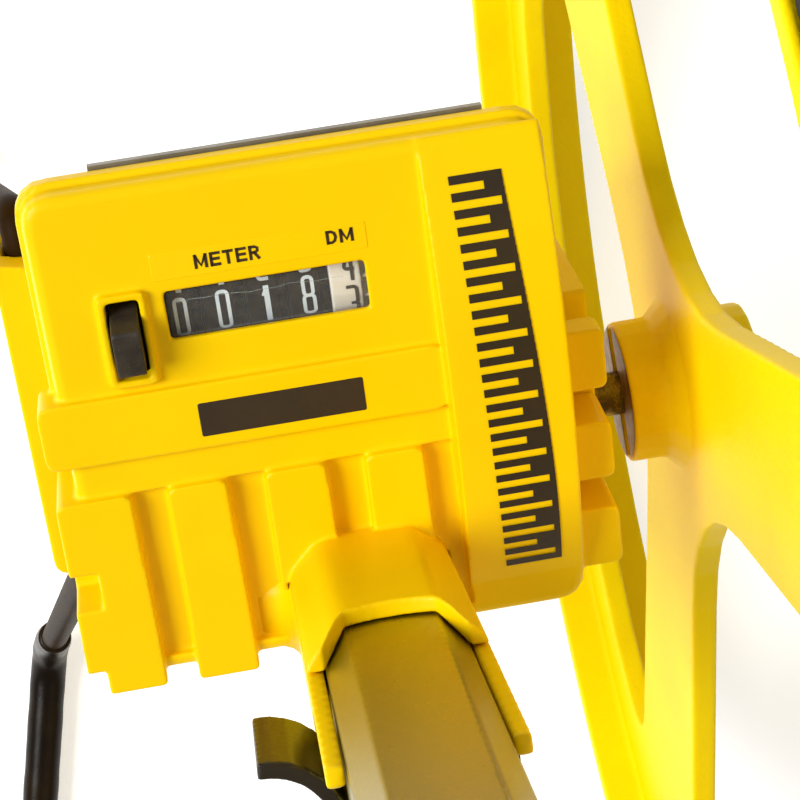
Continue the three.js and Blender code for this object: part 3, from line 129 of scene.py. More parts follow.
def speckle(m, colour, scale, amount):
    """Small specks of dust or wear over a material's colour."""
    tree = m.node_tree
    shader = tree.nodes["Principled BSDF"]
    under = shader.inputs["Base Color"].links[0].from_socket
    place = tree.nodes.new("ShaderNodeTexCoord")
    dots = tree.nodes.new("ShaderNodeTexNoise")
    dots.inputs["Scale"].default_value = scale
    dots.inputs["Detail"].default_value = 6.0
    dots.inputs["Roughness"].default_value = 0.8
    tree.links.new(place.outputs["Object"], dots.inputs["Vector"])
    mask = tree.nodes.new("ShaderNodeMapRange")
    mask.inputs["From Min"].default_value = 1.0 - amount
    mask.inputs["From Max"].default_value = 1.04 - amount
    tree.links.new(dots.outputs["Fac"], mask.inputs["Value"])
    over = tree.nodes.new("ShaderNodeMix")
    over.data_type = "RGBA"
    over.inputs[7].default_value = colour
    tree.links.new(mask.outputs["Result"], over.inputs[0])
    tree.links.new(under, over.inputs[6])
    tree.links.new(over.outputs[2], shader.inputs["Base Color"])


YELLOW = srgb(250, 211, 0)
YELLOW_DEEP = srgb(247, 204, 0)

shell = material("shell_yellow", YELLOW, YELLOW_DEEP, roughness=(0.3, 0.38), patch=25, grain=1800,
                 bump=0.000006, specular=0.14)
# The wheel's sharp outer edges are coloured dark brown
wheel_paint = material("wheel_paint", srgb(255, 224, 0), srgb(250, 212, 0), roughness=(0.36, 0.5), patch=30,
                       grain=800, bump=0.00014, edge_tone=srgb(150, 100, 20), edge_tone_at=(0.57, 0.66), specular=0.07)
speckle(wheel_paint, srgb(255, 228, 30), 700, 0.33)
rubber = material("tyre_rubber", srgb(44, 42, 38), srgb(30, 29, 27), roughness=(0.6, 0.8), patch=60,
                  grain=2200, bump=0.00008)
# The stand rod's paint is near black; its brown base colour is a painted amber reflection
black_paint_amber_reflection = material("black_paint_amber_reflection", srgb(52, 32, 4), srgb(28, 18, 6), roughness=(0.42, 0.55), patch=90,
                       grain=1500, bump=0.00002, specular=0.03)
speckle(black_paint_amber_reflection, srgb(120, 92, 34), 1300, 0.27)
sleeve_rubber = material("sleeve_rubber", srgb(16, 11, 8), srgb(34, 23, 8), roughness=(0.24, 0.38), patch=80,
                         grain=1500, bump=0.00004, specular=0.1)
speckle(sleeve_rubber, srgb(170, 160, 140), 1500, 0.3)
clip_plastic = material("clip_plastic", srgb(32, 24, 12), srgb(44, 34, 16), roughness=(0.3, 0.42), patch=60,
                        grain=1400, bump=0.00003, coat=0.2, specular=0.35)
speckle(clip_plastic, srgb(110, 96, 70), 1700, 0.27)
# The tube's satin warm grey paint; further down a painted yellow reflection of the hood is multiplied into it
tube_paint_and_reflection = material("tube_paint_and_reflection", srgb(168, 158, 120), srgb(156, 146, 110), roughness=(0.24, 0.36),
                      metallic=0.8, patch=18, grain=1600, bump=0.00001)


def graded(m, low, high, foot, height):
    """A material's colour multiplied by one that changes upwards, by height above the ground in metres."""
    tree = m.node_tree
    shader = tree.nodes["Principled BSDF"]
    under = shader.inputs["Base Color"].links[0].from_socket
    place = tree.nodes.new("ShaderNodeTexCoord")
    split = tree.nodes.new("ShaderNodeSeparateXYZ")
    tree.links.new(place.outputs["Object"], split.inputs[0])
    ramp = tree.nodes.new("ShaderNodeValToRGB")
    ramp.color_ramp.elements[0].color = low
    ramp.color_ramp.elements[1].color = high
    rise = tree.nodes.new("ShaderNodeMapRange")
    rise.inputs["From Min"].default_value = foot
    rise.inputs["From Max"].default_value = foot + height
    tree.links.new(split.outputs[2], rise.inputs["Value"])
    tree.links.new(rise.outputs["Result"], ramp.inputs["Fac"])
    over = tree.nodes.new("ShaderNodeMix")
    over.data_type = "RGBA"
    over.blend_type = "MULTIPLY"
    over.inputs[0].default_value = 1.0
    tree.links.new(under, over.inputs[6])
    tree.links.new(ramp.outputs["Color"], over.inputs[7])
    tree.links.new(over.outputs[2], shader.inputs["Base Color"])


# Near the hood the satin tube carries a painted yellow reflection of the housing round it, fading out upwards
HOOD_HEIGHT = (GRIP @ Vector((-51, -14, 78))).z
HOOD_REFLECTION_FADE = 0.075
graded(tube_paint_and_reflection, srgb(255, 246, 40), srgb(236, 232, 214), HOOD_HEIGHT, HOOD_REFLECTION_FADE)
steel = material("bright_steel", srgb(176, 172, 164), srgb(150, 146, 138), roughness=(0.25, 0.4),
                 metallic=0.9, patch=80, grain=1400, bump=0.00003)
greasy = material("greased_steel", srgb(150, 126, 40), srgb(84, 62, 22), roughness=(0.15, 0.35), metallic=0.8,
                  patch=260, contrast=2.0, grain=900, bump=0.00012)
galvanised = material("galvanised_plate", srgb(150, 146, 138), srgb(120, 116, 108), roughness=(0.35, 0.5),
                      metallic=0.7, patch=120, grain=900, bump=0.00004)
drum_black = material("drum_black", srgb(30, 14, 6), srgb(12, 7, 5), roughness=(0.4, 0.55), patch=120,
                      grain=2200, bump=0.00003, specular=0.06)
drum_white = material("drum_white", srgb(236, 234, 226), srgb(222, 218, 206), roughness=(0.3, 0.45),
                      patch=90, grain=2200, bump=0.00003)
nylon = material("nylon", srgb(226, 222, 206), srgb(206, 200, 180), roughness=(0.35, 0.5), patch=90,
                 grain=1800, bump=0.00003)
counter_plastic = material("counter_plastic", srgb(34, 28, 24), srgb(24, 20, 18), roughness=(0.4, 0.55),
                           patch=90, grain=2000, bump=0.00005)
lever_plastic = material("lever_plastic", srgb(60, 54, 46), srgb(40, 34, 28), roughness=(0.4, 0.6),
                         patch=300, grain=2600, bump=0.0001, specular=0.3)
speckle(lever_plastic, srgb(150, 135, 100), 2600, 0.36)
grip_rubber = material("grip_rubber", srgb(34, 33, 32), srgb(24, 24, 24), roughness=(0.55, 0.75), patch=50,
                       grain=1600, bump=0.00012)
fold_plastic = material("fold_plastic", srgb(36, 35, 34), srgb(28, 27, 26), roughness=(0.35, 0.5), patch=50,
                        grain=1500, bump=0.00006)
digit_ink = material("digit_ink", srgb(224, 236, 244), srgb(200, 216, 230), roughness=(0.4, 0.5),
                     patch=300)
dark_ink = material("dark_ink", srgb(62, 40, 10), srgb(48, 30, 8), roughness=(0.4, 0.5), patch=200)
drum_ink = material("drum_ink", srgb(30, 24, 22), srgb(44, 36, 32), roughness=(0.4, 0.5), patch=200)
ruler_ink = material("ruler_ink", srgb(44, 30, 12), srgb(34, 24, 14), roughness=(0.34, 0.48), patch=60,
                     grain=3000, bump=0.00003)
speckle(ruler_ink, srgb(120, 105, 80), 1800, 0.28)
plate_ink = material("plate_ink", srgb(52, 38, 24), srgb(44, 32, 20), roughness=(0.4, 0.5), patch=80)
label_film = material("label_film", srgb(249, 209, 0), srgb(246, 205, 0), roughness=(0.22, 0.3), patch=30,
                      grain=2500, bump=0.000004, specular=0.2)
latch_plastic = material("latch_plastic", srgb(250, 200, 8), srgb(240, 190, 6), roughness=(0.35, 0.45),
                         patch=40)

# The lens is nearly clear, with a faint haze that varies
lens = bpy.data.materials.new("window_plastic")
lens.use_nodes = True
lens_shader = lens.node_tree.nodes["Principled BSDF"]
lens_shader.inputs["Base Color"].default_value = (0.9, 0.9, 0.88, 1)
lens_shader.inputs["Roughness"].default_value = 0.08
lens_shader.inputs["Specular IOR Level"].default_value = 0.08
lens_shader.inputs["Alpha"].default_value = 0.04
lens_place = lens.node_tree.nodes.new("ShaderNodeTexCoord")
lens_noise = lens.node_tree.nodes.new("ShaderNodeTexNoise")
lens_noise.inputs["Scale"].default_value = 600
lens.node_tree.links.new(lens_place.outputs["Object"], lens_noise.inputs["Vector"])
lens_map = lens.node_tree.nodes.new("ShaderNodeMapRange")
lens_map.inputs["To Min"].default_value = 0.02
lens_map.inputs["To Max"].default_value = 0.05
lens.node_tree.links.new(lens_noise.outputs["Fac"], lens_map.inputs["Value"])
lens.node_tree.links.new(lens_map.outputs["Result"], lens_shader.inputs["Alpha"])

NODE_MATERIALS = {
    "front_cover": shell, "housing_rear": shell, "stand_cover": shell,
    "wheel_casting": wheel_paint, "tyre": rubber,
    "axle": greasy, "key_pin": greasy, "hub_washer": steel, "hub_nut": steel,
    "chassis_plate": galvanised, "window_lens": lens,
    "cover_screw_1": steel, "cover_screw_2": steel, "cover_screw_3": steel, "cover_screw_4": steel,
    "outer_bush": nylon, "inner_bush": nylon,
    "axle_gear": nylon, "idler_gear": nylon, "drum_gear": nylon,
    "counter_frame": counter_plastic, "drum_shaft": steel, "pinion_shaft": steel, "idler_pin": steel,
    "drum_thousands": drum_black, "drum_hundreds": drum_black, "drum_tens": drum_black,
    "drum_metres": drum_black, "drum_decimetres": drum_white,
    "pinion_1": nylon, "pinion_2": nylon, "pinion_3": nylon, "pinion_4": nylon,
    "reset_lever": lever_plastic,
    "lower_tube": tube_paint_and_reflection, "upper_tube": tube_paint_and_reflection, "stand_clip": clip_plastic,
    "lower_yoke": fold_plastic, "upper_yoke": fold_plastic, "latch_button": latch_plastic,
    "grip_core": fold_plastic, "grip_cover": grip_rubber, "end_cap": fold_plastic, "fold_pin": steel,
    "stand_rod": black_paint_amber_reflection, "rear_sleeve": sleeve_rubber, "front_sleeve": sleeve_rubber,
}
for name, m in NODE_MATERIALS.items():
    mesh = nodes[name].data
    mesh.materials.clear()
    mesh.materials.append(m)

# Moulded and cast edges are soft: the node's own form, resampled at so many millimetres, relaxed in passes
SOFTNESS = {
    "front_cover": (0.34, 4), "housing_rear": (0.5, 5), "stand_cover": (0.35, 4),
    "wheel_casting": (0.5, 8), "tyre": (0.7, 4),
    "lower_tube": (0.4, 6), "upper_tube": (0.6, 4), "stand_clip": (0.3, 14),
    "reset_lever": (0.2, 4), "axle": (0.25, 3),
    "lower_yoke": (0.5, 3), "upper_yoke": (0.5, 3), "latch_button": (0.3, 3),
    "grip_core": (0.7, 3), "grip_cover": (0.6, 4), "end_cap": (0.5, 4),
    "hub_nut": (0.3, 2), "hub_washer": (0.25, 2), "fold_pin": (0.25, 2),
    "drum_thousands": (0.25, 5), "drum_hundreds": (0.25, 5), "drum_tens": (0.25, 5),
    "drum_metres": (0.25, 5), "drum_decimetres": (0.25, 5),
}
for name, (voxel, passes) in SOFTNESS.items():
    remesh = nodes[name].modifiers.new("resample", "REMESH")
    remesh.mode = "VOXEL"
    remesh.voxel_size = voxel / 1000
    remesh.use_smooth_shade = True
    relax = nodes[name].modifiers.new("relax", "SMOOTH")
    relax.factor = 0.5
    relax.iterations = passes


def mesh_object(name, points, faces, m, body, place=FACE):
    """A mesh from face frame points in millimetres, riding on a body."""
    mesh = bpy.data.meshes.new(name)
    mesh.from_pydata([tuple(place @ Vector(p)) for p in points], [], faces)
    mesh.materials.append(m)
    mesh.update()
    o = bpy.data.objects.new(name, mesh)
    bpy.context.scene.collection.objects.link(o)
    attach(o, body)
    return o


# Digits: strokes in a unit box, drawn as ribbons and wrapped on the drums
def turned(corners, radius, closed):
    """A path through corners with each turn rounded."""
    path = []
    count = len(corners)
    for i, (x, y) in enumerate(corners):
        if not closed and i in (0, count - 1):
            path.append((x, y))
            continue
        before = Vector(corners[i - 1]) - Vector((x, y))
        after = Vector(corners[(i + 1) % count]) - Vector((x, y))
        cutoff = min(radius, before.length / 2, after.length / 2)
        a = Vector((x, y)) + before.normalized() * cutoff
        b = Vector((x, y)) + after.normalized() * cutoff
        for k in range(5):
            t = k / 4
            q = a * (1 - t) ** 2 + Vector((x, y)) * 2 * t * (1 - t) + b * t * t
            path.append((q.x, q.y))
    return path


def divided(path, closed, longest):
    """The same path with its long stretches divided, so that it can follow a curved surface."""
    out = []
    count = len(path)
    for i in range(count if closed else count - 1):
        a = Vector(path[i])
        b = Vector(path[(i + 1) % count])
        parts = max(1, math.ceil((b - a).length / longest))
        out += [tuple(a.lerp(b, k / parts)) for k in range(parts)]
    if not closed:
        out.append(tuple(path[-1]))
    return out


GLYPHS = {
    0: [(True, [(0, 0), (1, 0), (1, 1), (0, 1)])],
    1: [(False, [(0.62, 0), (0.62, 1)]), (False, [(0.62, 0.94), (0.3, 0.74)])],
    2: [(False, [(0, 0.86), (0, 1), (1, 1), (1, 0.55), (0, 0.25), (0, 0), (1, 0)])],
    3: [(False, [(0, 1), (1, 1), (1, 0.52), (0.35, 0.52)]),
        (False, [(0.35, 0.52), (1, 0.52), (1, 0), (0, 0)])],
    4: [(False, [(0.75, 0), (0.75, 1), (0, 0.3), (1, 0.3)])],
    5: [(False, [(1, 1), (0.05, 1), (0.05, 0.55), (1, 0.55), (1, 0), (0, 0), (0, 0.14)])],
    6: [(False, [(1, 0.9), (1, 1), (0, 1), (0, 0), (1, 0), (1, 0.55), (0, 0.55)])],
    7: [(False, [(0, 1), (1, 1), (0.4, 0.4), (0.4, 0)])],
    8: [(True, [(0, 0), (1, 0), (1, 0.52), (0, 0.52)]),
        (True, [(0.06, 0.52), (0.94, 0.52), (0.94, 1), (0.06, 1)])],
    9: [(False, [(0, 0.1), (0, 0), (1, 0), (1, 1), (0, 1), (0, 0.45), (1, 0.45)])],
}


def ribbon(path, closed, width):
    """Left and right edges of a stroke along a path, mitred at its turns."""
    pts = [Vector(p) for p in path]
    out = []
    count = len(pts)
    for i, p in enumerate(pts):
        prev = pts[i - 1] if closed or i > 0 else p
        nxt = pts[(i + 1) % count] if closed or i < count - 1 else p
        ahead = (nxt - prev).normalized()
        side = Vector((-ahead.y, ahead.x))
        out.append((p + side * width / 2, p - side * width / 2))
    return out


def digit_mesh(name, digit, centre_x, angle, radius, height, width, stroke, m, body):
    """One digit wrapped on a drum, its centre at an angle up from the way out of the face."""
    points = []
    faces = []
    for closed, corners in GLYPHS[digit]:
        real = [((x - 0.5) * (width - stroke), (y - 0.5) * (height - stroke)) for x, y in corners]
        upright = digit == 1 and corners[0][0] == corners[1][0]
        if upright:
            edges = ribbon(divided(real, closed, 0.4), closed, stroke * 1.5)
        else:
            edges = ribbon(divided(turned(real, 0.7, closed), closed, 0.4), closed, stroke)
        start = len(points)
        for left, right in edges:
            for q in (left, right):
                turn = angle + q.y / radius
                points.append((centre_x + q.x, COUNTER.y + radius * math.sin(turn),
                               COUNTER.z + radius * math.cos(turn)))
        count = len(edges)
        for i in range(count if closed else count - 1):
            a = start + 2 * i
            b = start + 2 * ((i + 1) % count)
            faces.append((a, a + 1, b + 1, b))
    return mesh_object(name, points, faces, m, body)


DRUM_RADIUS = 12.4
INK_RISE = 0.08
DIGIT_HEIGHT = 7.3
DIGIT_WIDTH = 2.3
DIGIT_STROKE = 0.6
DIGIT_STEP = 36
# Each drum with its digit in the window and how far that stands from the middle, in degrees
DRUMS = [("thousands", 0, -9.0), ("hundreds", 0, -8.1), ("tens", 1, -8.8), ("metres", 8, -7.5),
         ("decimetres", 4, 15.0)]
BODY_OF = frame["record"]["behaviour"]["bodies"]


def body_with(node):
    """The body that holds a node."""
    for body, members in BODY_OF.items():
        if node in members:
            return body
    return None


for label, shown, rest_angle in DRUMS:
    node = "drum_" + label
    low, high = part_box(node)
    centre_x = ((low.x + high.x) / 2 - HUB.x) * 1000
    ink = drum_ink if label == "decimetres" else digit_ink
    for digit in range(10):
        step = (digit - shown + 5) % 10 - 5
        digit_mesh(f"digit_{label}_{digit}", digit, centre_x, math.radians(rest_angle + DIGIT_STEP * step),
                   DRUM_RADIUS + INK_RISE, DIGIT_HEIGHT, DIGIT_WIDTH, DIGIT_STROKE, ink, body_with(node))


# A faint scratch across the lens
SCRATCH = [(-75.4, 42.2), (-73.2, 42.5), (-70.8, 42.35), (-68.2, 42.45), (-65.4, 42.3), (-63.6, 42.05),
           (-61.6, 42.2), (-59.4, 42.1), (-57.2, 42.45), (-54.9, 42.35), (-52.6, 42.1), (-50.4, 42.2),
           (-48.3, 42.15)]
SCRATCH_WIDTH = 0.12
LENS_LEVEL = 27.83
scratched = material("scratched_lens", srgb(190, 206, 208), srgb(140, 156, 160), roughness=(0.5, 0.7),
                     patch=600, grain=2500, bump=0.000002)
scratched.node_tree.nodes["Principled BSDF"].inputs["Alpha"].default_value = 0.4
scratch_edges = ribbon(SCRATCH, False, SCRATCH_WIDTH)
scratch_points = [(q.x, q.y, LENS_LEVEL) for pair in scratch_edges for q in pair]
scratch_faces = [(2 * i, 2 * i + 1, 2 * i + 3, 2 * i + 2) for i in range(len(SCRATCH) - 1)]
mesh_object("lens_scratch", scratch_points, scratch_faces, scratched, "housing")


# The scale printed on the curved face, from the top down: teeth joined by a spine
RULER_CENTRE = (21.9, -74.0)
RULER_RADIUS = 110.2
TEETH = 27
TOOTH_STEP = math.radians(1.433)
FIRST_TOOTH = math.radians(71.8)


def on_ruler(x, angle):
    """A point on the curved face that carries the scale."""
    up = RULER_CENTRE[0] + RULER_RADIUS * math.cos(angle)
    out = RULER_CENTRE[1] + RULER_RADIUS * math.sin(angle)
    return (x, up, out)


ruler_points = []
ruler_faces = []
CELLS = TEETH * 2 - 1
for cell in range(CELLS):
    start = FIRST_TOOTH + (cell - 0.52) * TOOTH_STEP / 2
    end = start + TOOTH_STEP / 2 * (1.04 if cell % 2 == 0 else 1.0)
    share = cell / (CELLS - 1)
    left = -29.8 + 2.2 * share
    right = -21.2 + 3.3 * math.sin(share * math.pi / 2) ** 1.2
    if cell % 2:
        short_gap = (cell // 2) % 2 == 0
        reach = 0.64 - 0.065 * share if short_gap else 0.917 - 0.027 * share
        left += (right - left) * reach
    for step in range(2):
        a = start + (end - start) * step / 2
        b = start + (end - start) * (step + 1) / 2
        base = len(ruler_points)
        ruler_points += [on_ruler(left, a), on_ruler(right, a), on_ruler(right, b), on_ruler(left, b)]
        ruler_faces.append((base, base + 1, base + 2, base + 3))
mesh_object("ruler_print", ruler_points, ruler_faces, ruler_ink, "housing")


def rounded_plate(name, x0, x1, u0, u1, level, thickness, corner, m, body):
    """A thin plate on the face, with round corners and a soft rim."""
    outline = []
    for cx, cu, start in ((x1 - corner, u1 - corner, 0), (x0 + corner, u1 - corner, 90),
                          (x0 + corner, u0 + corner, 180), (x1 - corner, u0 + corner, 270)):
        for k in range(7):
            a = math.radians(start + 15 * k)
            outline.append((cx + corner * math.cos(a), cu + corner * math.sin(a)))
    rings = [(0.0, level), (0.0, level + thickness * 0.6), (thickness * 0.5, level + thickness)]
    mx, mu = (x0 + x1) / 2, (u0 + u1) / 2
    points = []
    for inset, n in rings:
        for x, u in outline:
            sx = (abs(x - mx) - inset) / max(abs(x - mx), 1e-6)
            su = (abs(u - mu) - inset) / max(abs(u - mu), 1e-6)
            points.append((mx + (x - mx) * max(sx, 0), mu + (u - mu) * max(su, 0), n))
    count = len(outline)
    faces = [tuple(range((len(rings) - 1) * count, len(rings) * count))]
    for r in range(len(rings) - 1):
        for i in range(count):
            j = (i + 1) % count
            faces.append((r * count + i, r * count + j, (r + 1) * count + j, (r + 1) * count + i))
    return mesh_object(name, points, faces, m, body)


SUNK = 0.02
rounded_plate("label_strip", -78.6, -43.7, 46.6, 51.2, LEVELS["face"] - SUNK, 0.12, 0.4, label_film,
              "housing")
rounded_plate("blank_plate", -75.0, -47.6, 19.0, 25.0, LEVELS["belt"] - SUNK, 0.14, 0.35, plate_ink,
              "housing")

# The two printed words: strokes in a unit box for each letter
LETTERS = {
    "M": [[(0, 0), (0, 1)], [(0.04, 0.97), (0.5, 0.12), (0.96, 0.97)], [(1, 1), (1, 0)]],
    "E": [[(0, 0), (0, 1)], [(0, 1), (1, 1)], [(0, 0.52), (0.92, 0.52)], [(0, 0), (1, 0)]],
    "T": [[(0, 1), (1, 1)], [(0.5, 1), (0.5, 0)]],
    "R": [[(0, 0), (0, 1)], [(0, 1), (0.62, 1), (0.94, 0.88), (0.94, 0.64), (0.62, 0.5), (0, 0.5)],
          [(0.5, 0.5), (1, 0)]],
    "D": [[(0, 0), (0, 1)], [(0, 1), (0.5, 1), (0.86, 0.84), (1, 0.5), (0.86, 0.16), (0.5, 0), (0, 0)]],
}


def lettering(name, text, x0, x1, u0, u1, level, stroke, gap, m, body):
    """Printed capitals filling a rectangle of the face, each letter drawn as strokes."""
    shares = [1.25 if letter == "M" else 1.0 for letter in text]
    unit = (x1 - x0 - gap * (len(text) - 1)) / sum(shares)
    points = []
    faces = []
    left = x0
    for letter, share in zip(text, shares):
        wide = unit * share
        for path in LETTERS[letter]:
            real = [(left + stroke / 2 + x * (wide - stroke), u0 + stroke / 2 + y * (u1 - u0 - stroke))
                    for x, y in path]
            first, last = Vector(real[0]), Vector(real[-1])
            first += (first - Vector(real[1])).normalized() * stroke / 2
            last += (last - Vector(real[-2])).normalized() * stroke / 2
            real[0], real[-1] = tuple(first), tuple(last)
            start = len(points)
            edges = ribbon(real, False, stroke)
            for a, b in edges:
                points += [(a.x, a.y, level), (b.x, b.y, level)]
            for i in range(len(edges) - 1):
                k = start + 2 * i
                faces.append((k, k + 1, k + 3, k + 2))
        left += wide + gap
    return mesh_object(name, points, faces, m, body)


WORD_LEVEL = LEVELS["face"] + 0.16
WORD_STROKE = 0.5
LETTER_GAP = 0.36
lettering("word_metres", "METER", -71.6, -61.0, 47.7, 50.15, WORD_LEVEL, WORD_STROKE, LETTER_GAP,
          dark_ink, "housing")
lettering("word_decimetres", "DM", -50.2, -45.75, 48.2, 50.55, WORD_LEVEL, WORD_STROKE, LETTER_GAP,
          dark_ink, "housing")

# The stand's rod and its sleeves, round and smooth, along the same bends as the frame's own
ROD_Z = 4.4 - HUB.z * 1000
LEG_LOW = Vector((-100.5, -17.5 * math.cos(LEAN), -17.5 * math.sin(LEAN)))
LEG_HIGH = Vector((-100.5, 52 * math.cos(LEAN), 52 * math.sin(LEAN)))
REAR_END = Vector((-158, -190, ROD_Z))
REAR_HEEL = Vector((-125, -49, ROD_Z))
FRONT_HEEL = Vector((-131, 74, ROD_Z))
FRONT_END = Vector((-145, 134, ROD_Z))
ROD_RADIUS = 3.0
SLEEVE_RADIUS = 4.3
HEEL_BEND = 14
LEG_BEND = 5


def bent_path(points, bends, steps=8):
    """A line through points, with each corner bent as the frame bends it."""
    line = [points[0]]
    for i in range(1, len(points) - 1):
        corner = points[i]
        back = points[i - 1] - corner
        ahead = points[i + 1] - corner
        reach = min(bends[i - 1] / math.tan(back.angle(ahead) / 2), back.length / 2, ahead.length / 2)
        a = corner + back.normalized() * reach
        b = corner + ahead.normalized() * reach
        for k in range(steps + 1):
            t = k / steps
            line.append(a * (1 - t) ** 2 + corner * 2 * t * (1 - t) + b * t * t)
    line.append(points[-1])
    return line


def spaced(line, longest):
    """The same line with its long stretches divided."""
    out = []
    for a, b in zip(line, line[1:]):
        parts = max(1, math.ceil((b - a).length / longest))
        out += [a.lerp(b, k / parts) for k in range(parts)]
    return out + [line[-1]]


def sweep(name, line, radii, m, body, sides=28):
    """A round bar along a line, with a radius for each point and flat closed ends."""
    heading = (line[1] - line[0]).normalized()
    side = Vector((0, 0, 1)).cross(heading).normalized()
    points = []
    for i, p in enumerate(line):
        ahead = (line[min(i + 1, len(line) - 1)] - line[max(i - 1, 0)]).normalized()
        side = heading.rotation_difference(ahead) @ side
        heading = ahead
        up = ahead.cross(side)
        for k in range(sides):
            a = 2 * math.pi * k / sides
            points.append(p + side * radii[i] * math.cos(a) + up * radii[i] * math.sin(a))
    faces = [tuple(range(sides))[::-1], tuple(range((len(line) - 1) * sides, len(line) * sides))]
    for r in range(len(line) - 1):
        for k in range(sides):
            n = (k + 1) % sides
            faces.append((r * sides + k, r * sides + n, (r + 1) * sides + n, (r + 1) * sides + k))
    o = mesh_object(name, points, faces, m, body, SHAFT)
    o.data.polygons.foreach_set("use_smooth", [len(f.vertices) == 4 for f in o.data.polygons])
    return o


def sleeve(name, line, m):
    """A vinyl sleeve over the rod: a domed tip, a slightly uneven wall, and a rolled mouth."""
    tip = line[0] + (line[0] - line[1]).normalized() * 1.4
    line = spaced([tip] + line, 1.5)
    count = len(line)
    radii = []
    for i in range(count):
        from_tip = (line[i] - line[0]).length
        dome = math.sqrt(min(1.0, (from_tip + 0.4) / 3.2))
        uneven = 0.07 * math.sin(i * 0.9) * math.sin(i * 0.23)
        from_mouth = (line[-1] - line[i]).length
        snug = SLEEVE_RADIUS - 0.35 * max(0.0, 1 - from_mouth / 9)
        radii.append((snug + uneven) * dome)
    mouth = line[-1] + (line[-1] - line[-2]).normalized() * 0.7
    line += [line[-1] + (mouth - line[-1]) * 0.6, mouth]
    radii += [3.75, ROD_RADIUS + 0.02]
    return sweep(name, line, radii, m, "stand")


rod_line = bent_path([REAR_END, REAR_HEEL, LEG_LOW, LEG_HIGH, FRONT_HEEL, FRONT_END],
                     [HEEL_BEND, LEG_BEND, LEG_BEND, HEEL_BEND])
rod_line = spaced(rod_line, 6)
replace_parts(sweep("rod_round", rod_line, [ROD_RADIUS] * len(rod_line), black_paint_amber_reflection, "stand"), "stand_rod")
rear_top = REAR_HEEL + (LEG_LOW - REAR_HEEL).normalized() * 26
rear_line = bent_path([REAR_END, REAR_HEEL, rear_top], [HEEL_BEND])
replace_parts(sleeve("sleeve_rear", rear_line, sleeve_rubber), "rear_sleeve")
front_top = FRONT_END.lerp(FRONT_HEEL, 0.7)
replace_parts(sleeve("sleeve_front", [FRONT_END, front_top], sleeve_rubber), "front_sleeve")


def lofted(name, sections, m, body):
    """Sections of x and n, each at its own place up the face, joined in order."""
    count = len(sections[0][1])
    points = [(x, u, n) for u, profile in sections for x, n in profile]
    last = len(points) - count
    faces = [tuple(range(count)), tuple(range(last, last + count))[::-1]]
    for r in range(len(sections) - 1):
        for i in range(count):
            j = (i + 1) % count
            faces.append((r * count + i, (r + 1) * count + i, (r + 1) * count + j, r * count + j))
    return mesh_object(name, points, faces, m, body)


# The pocket's floor sweeps up to the hood's left flank, and the sweep falls away at its upper end
FLANK = [(-71.6, 26.55), (-69.4, 26.9), (-67.4, 27.6), (-66.0, 28.8), (-65.2, 30.4), (-64.6, 33.0),
         (-62.6, 34.6), (-61.6, 35.2), (-61.6, 16.0), (-71.6, 16.0)]
FLANK_BACK = 20
FLANK_FALL = [(-24.3, 0), (-14.5, 0), (-13.0, 0.7), (-11.5, 2.2), (-10.0, 4.6), (-8.5, 7.5), (-7.0, 10.0)]
flank = [(u, [(x, n - drop if n > FLANK_BACK else n) for x, n in FLANK]) for u, drop in FLANK_FALL]
hood_flank = lofted("hood_flank", flank, shell, "housing")
hood_flank.data.polygons.foreach_set("use_smooth", [len(f.vertices) == 4 for f in hood_flank.data.polygons])

# A brownish sheet over the boss's end face round the key slot: painted shade, and paint worn to bare metal
boss_shade_and_wear = material("boss_shade_and_wear", srgb(150, 120, 62), srgb(110, 84, 44), roughness=(0.35, 0.6),
                     metallic=0.35, patch=320, contrast=2.0, grain=1400, bump=0.00008)
SHADE_WEAR_RINGS = (4.8, 8.2, 12.2)
SHADE_WEAR_STEPS = 24
KEY_HALF_WIDTH = 2.2
SHADE_WEAR_RISE = 0.05
shade_wear_points = []
shade_wear_faces = []
for half in (1, -1):
    start = len(shade_wear_points)
    for k in range(SHADE_WEAR_STEPS + 1):
        for radius in SHADE_WEAR_RINGS:
            low = math.asin(KEY_HALF_WIDTH / radius)
            a = low + (math.pi - 2 * low) * k / SHADE_WEAR_STEPS
            shade_wear_points.append((-SHADE_WEAR_RISE, radius * math.cos(a), half * radius * math.sin(a)))
    for k in range(SHADE_WEAR_STEPS):
        for ring in range(2):
            c = start + 3 * k + ring
            shade_wear_faces.append((c, c + 1, c + 4, c + 3))
mesh_object("boss_end_shade_and_wear", shade_wear_points, shade_wear_faces, boss_shade_and_wear, "wheel", SHAFT)

# Camera: the photograph's own place and angle, solved from the face's known sizes
camera_data = bpy.data.cameras.new("camera")
camera_data.sensor_width = 36
camera_data.lens = 101.877
camera_data.clip_start = 0.02
camera_data.clip_end = 20
camera = bpy.data.objects.new("camera", camera_data)
bpy.context.scene.collection.objects.link(camera)
TURN = Vector((0.429244, -0.100921, -0.148081))
CAMERA_PLACE = Vector((-66.71, 177.18, 368.14))
rotation = Matrix.Rotation(TURN.length, 3, TURN.normalized())
lean = Matrix.Rotation(LEAN, 3, "X")


def seen(row):
    """One axis of the solved camera, from its own y down and z forward to the row's axes."""
    return lean @ Vector((row[0], -row[1], -row[2]))


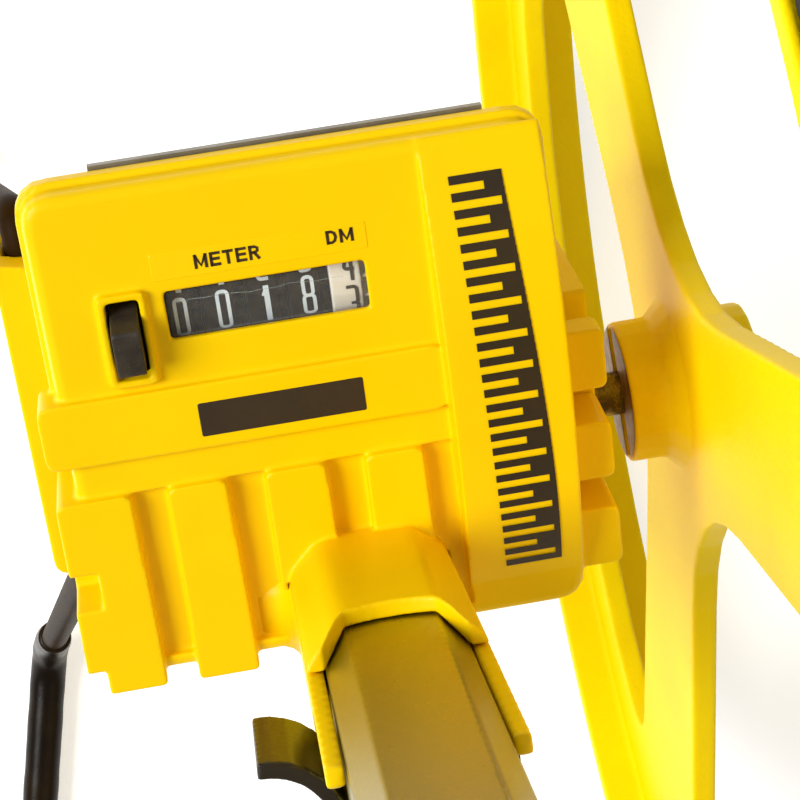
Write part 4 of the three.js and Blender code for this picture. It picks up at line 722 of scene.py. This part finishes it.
right, down, forward = seen(rotation[0]), seen(rotation[1]), seen(rotation[2])
frame_of_view = Matrix((right, -down, -forward)).transposed().to_4x4()
camera.matrix_world = Matrix.Translation(FACE @ CAMERA_PLACE) @ frame_of_view
bpy.context.scene.camera = camera

# Studio: white surround, pale floor, and broad soft lights placed from the camera
scene = bpy.context.scene
scene.view_settings.view_transform = "Standard"
world = bpy.data.worlds.new("studio")
world.use_nodes = True
world.node_tree.nodes["Background"].inputs["Color"].default_value = (1.0, 1.0, 1.0, 1)
world.node_tree.nodes["Background"].inputs["Strength"].default_value = 0.28
scene.world = world
TARGET = FACE @ Vector((-45, 20, 25))


def area_light(name, across, up, towards, size, power):
    """A soft light aimed at the housing, its place given in metres from there along the camera's axes."""
    data = bpy.data.lights.new(name, "AREA")
    data.size = size
    data.energy = power
    light = bpy.data.objects.new(name, data)
    scene.collection.objects.link(light)
    light.location = TARGET + right * across - down * up - forward * towards
    light.rotation_mode = "QUATERNION"
    light.rotation_quaternion = (TARGET - light.location).to_track_quat("-Z", "Y")


area_light("key", -0.8, -0.1, 0.85, 0.6, 15)
area_light("fill", 0.9, -0.4, 0.9, 1.0, 2.2)

floor_mesh = bpy.data.meshes.new("floor")
SPAN = 4.0
STEPS = 8
floor_points = []
floor_faces = []
for i in range(STEPS + 1):
    for j in range(STEPS + 1):
        floor_points.append(((i / STEPS - 0.5) * SPAN, (j / STEPS - 0.5) * SPAN, 0))
for i in range(STEPS):
    for j in range(STEPS):
        a = i * (STEPS + 1) + j
        floor_faces.append((a, a + STEPS + 1, a + STEPS + 2, a + 1))
floor_mesh.from_pydata(floor_points, [], floor_faces)
floor = bpy.data.objects.new("floor", floor_mesh)
scene.collection.objects.link(floor)
pale = material("pale_floor", (0.93, 0.93, 0.93, 1), (0.95, 0.95, 0.95, 1), roughness=(0.6, 0.7), patch=3,
                grain=300, bump=0.0)
pale_shader = pale.node_tree.nodes["Principled BSDF"]
pale_shader.inputs["Emission Color"].default_value = (1, 1, 1, 1)
pale_shader.inputs["Emission Strength"].default_value = 0.52
floor_mesh.materials.append(pale)
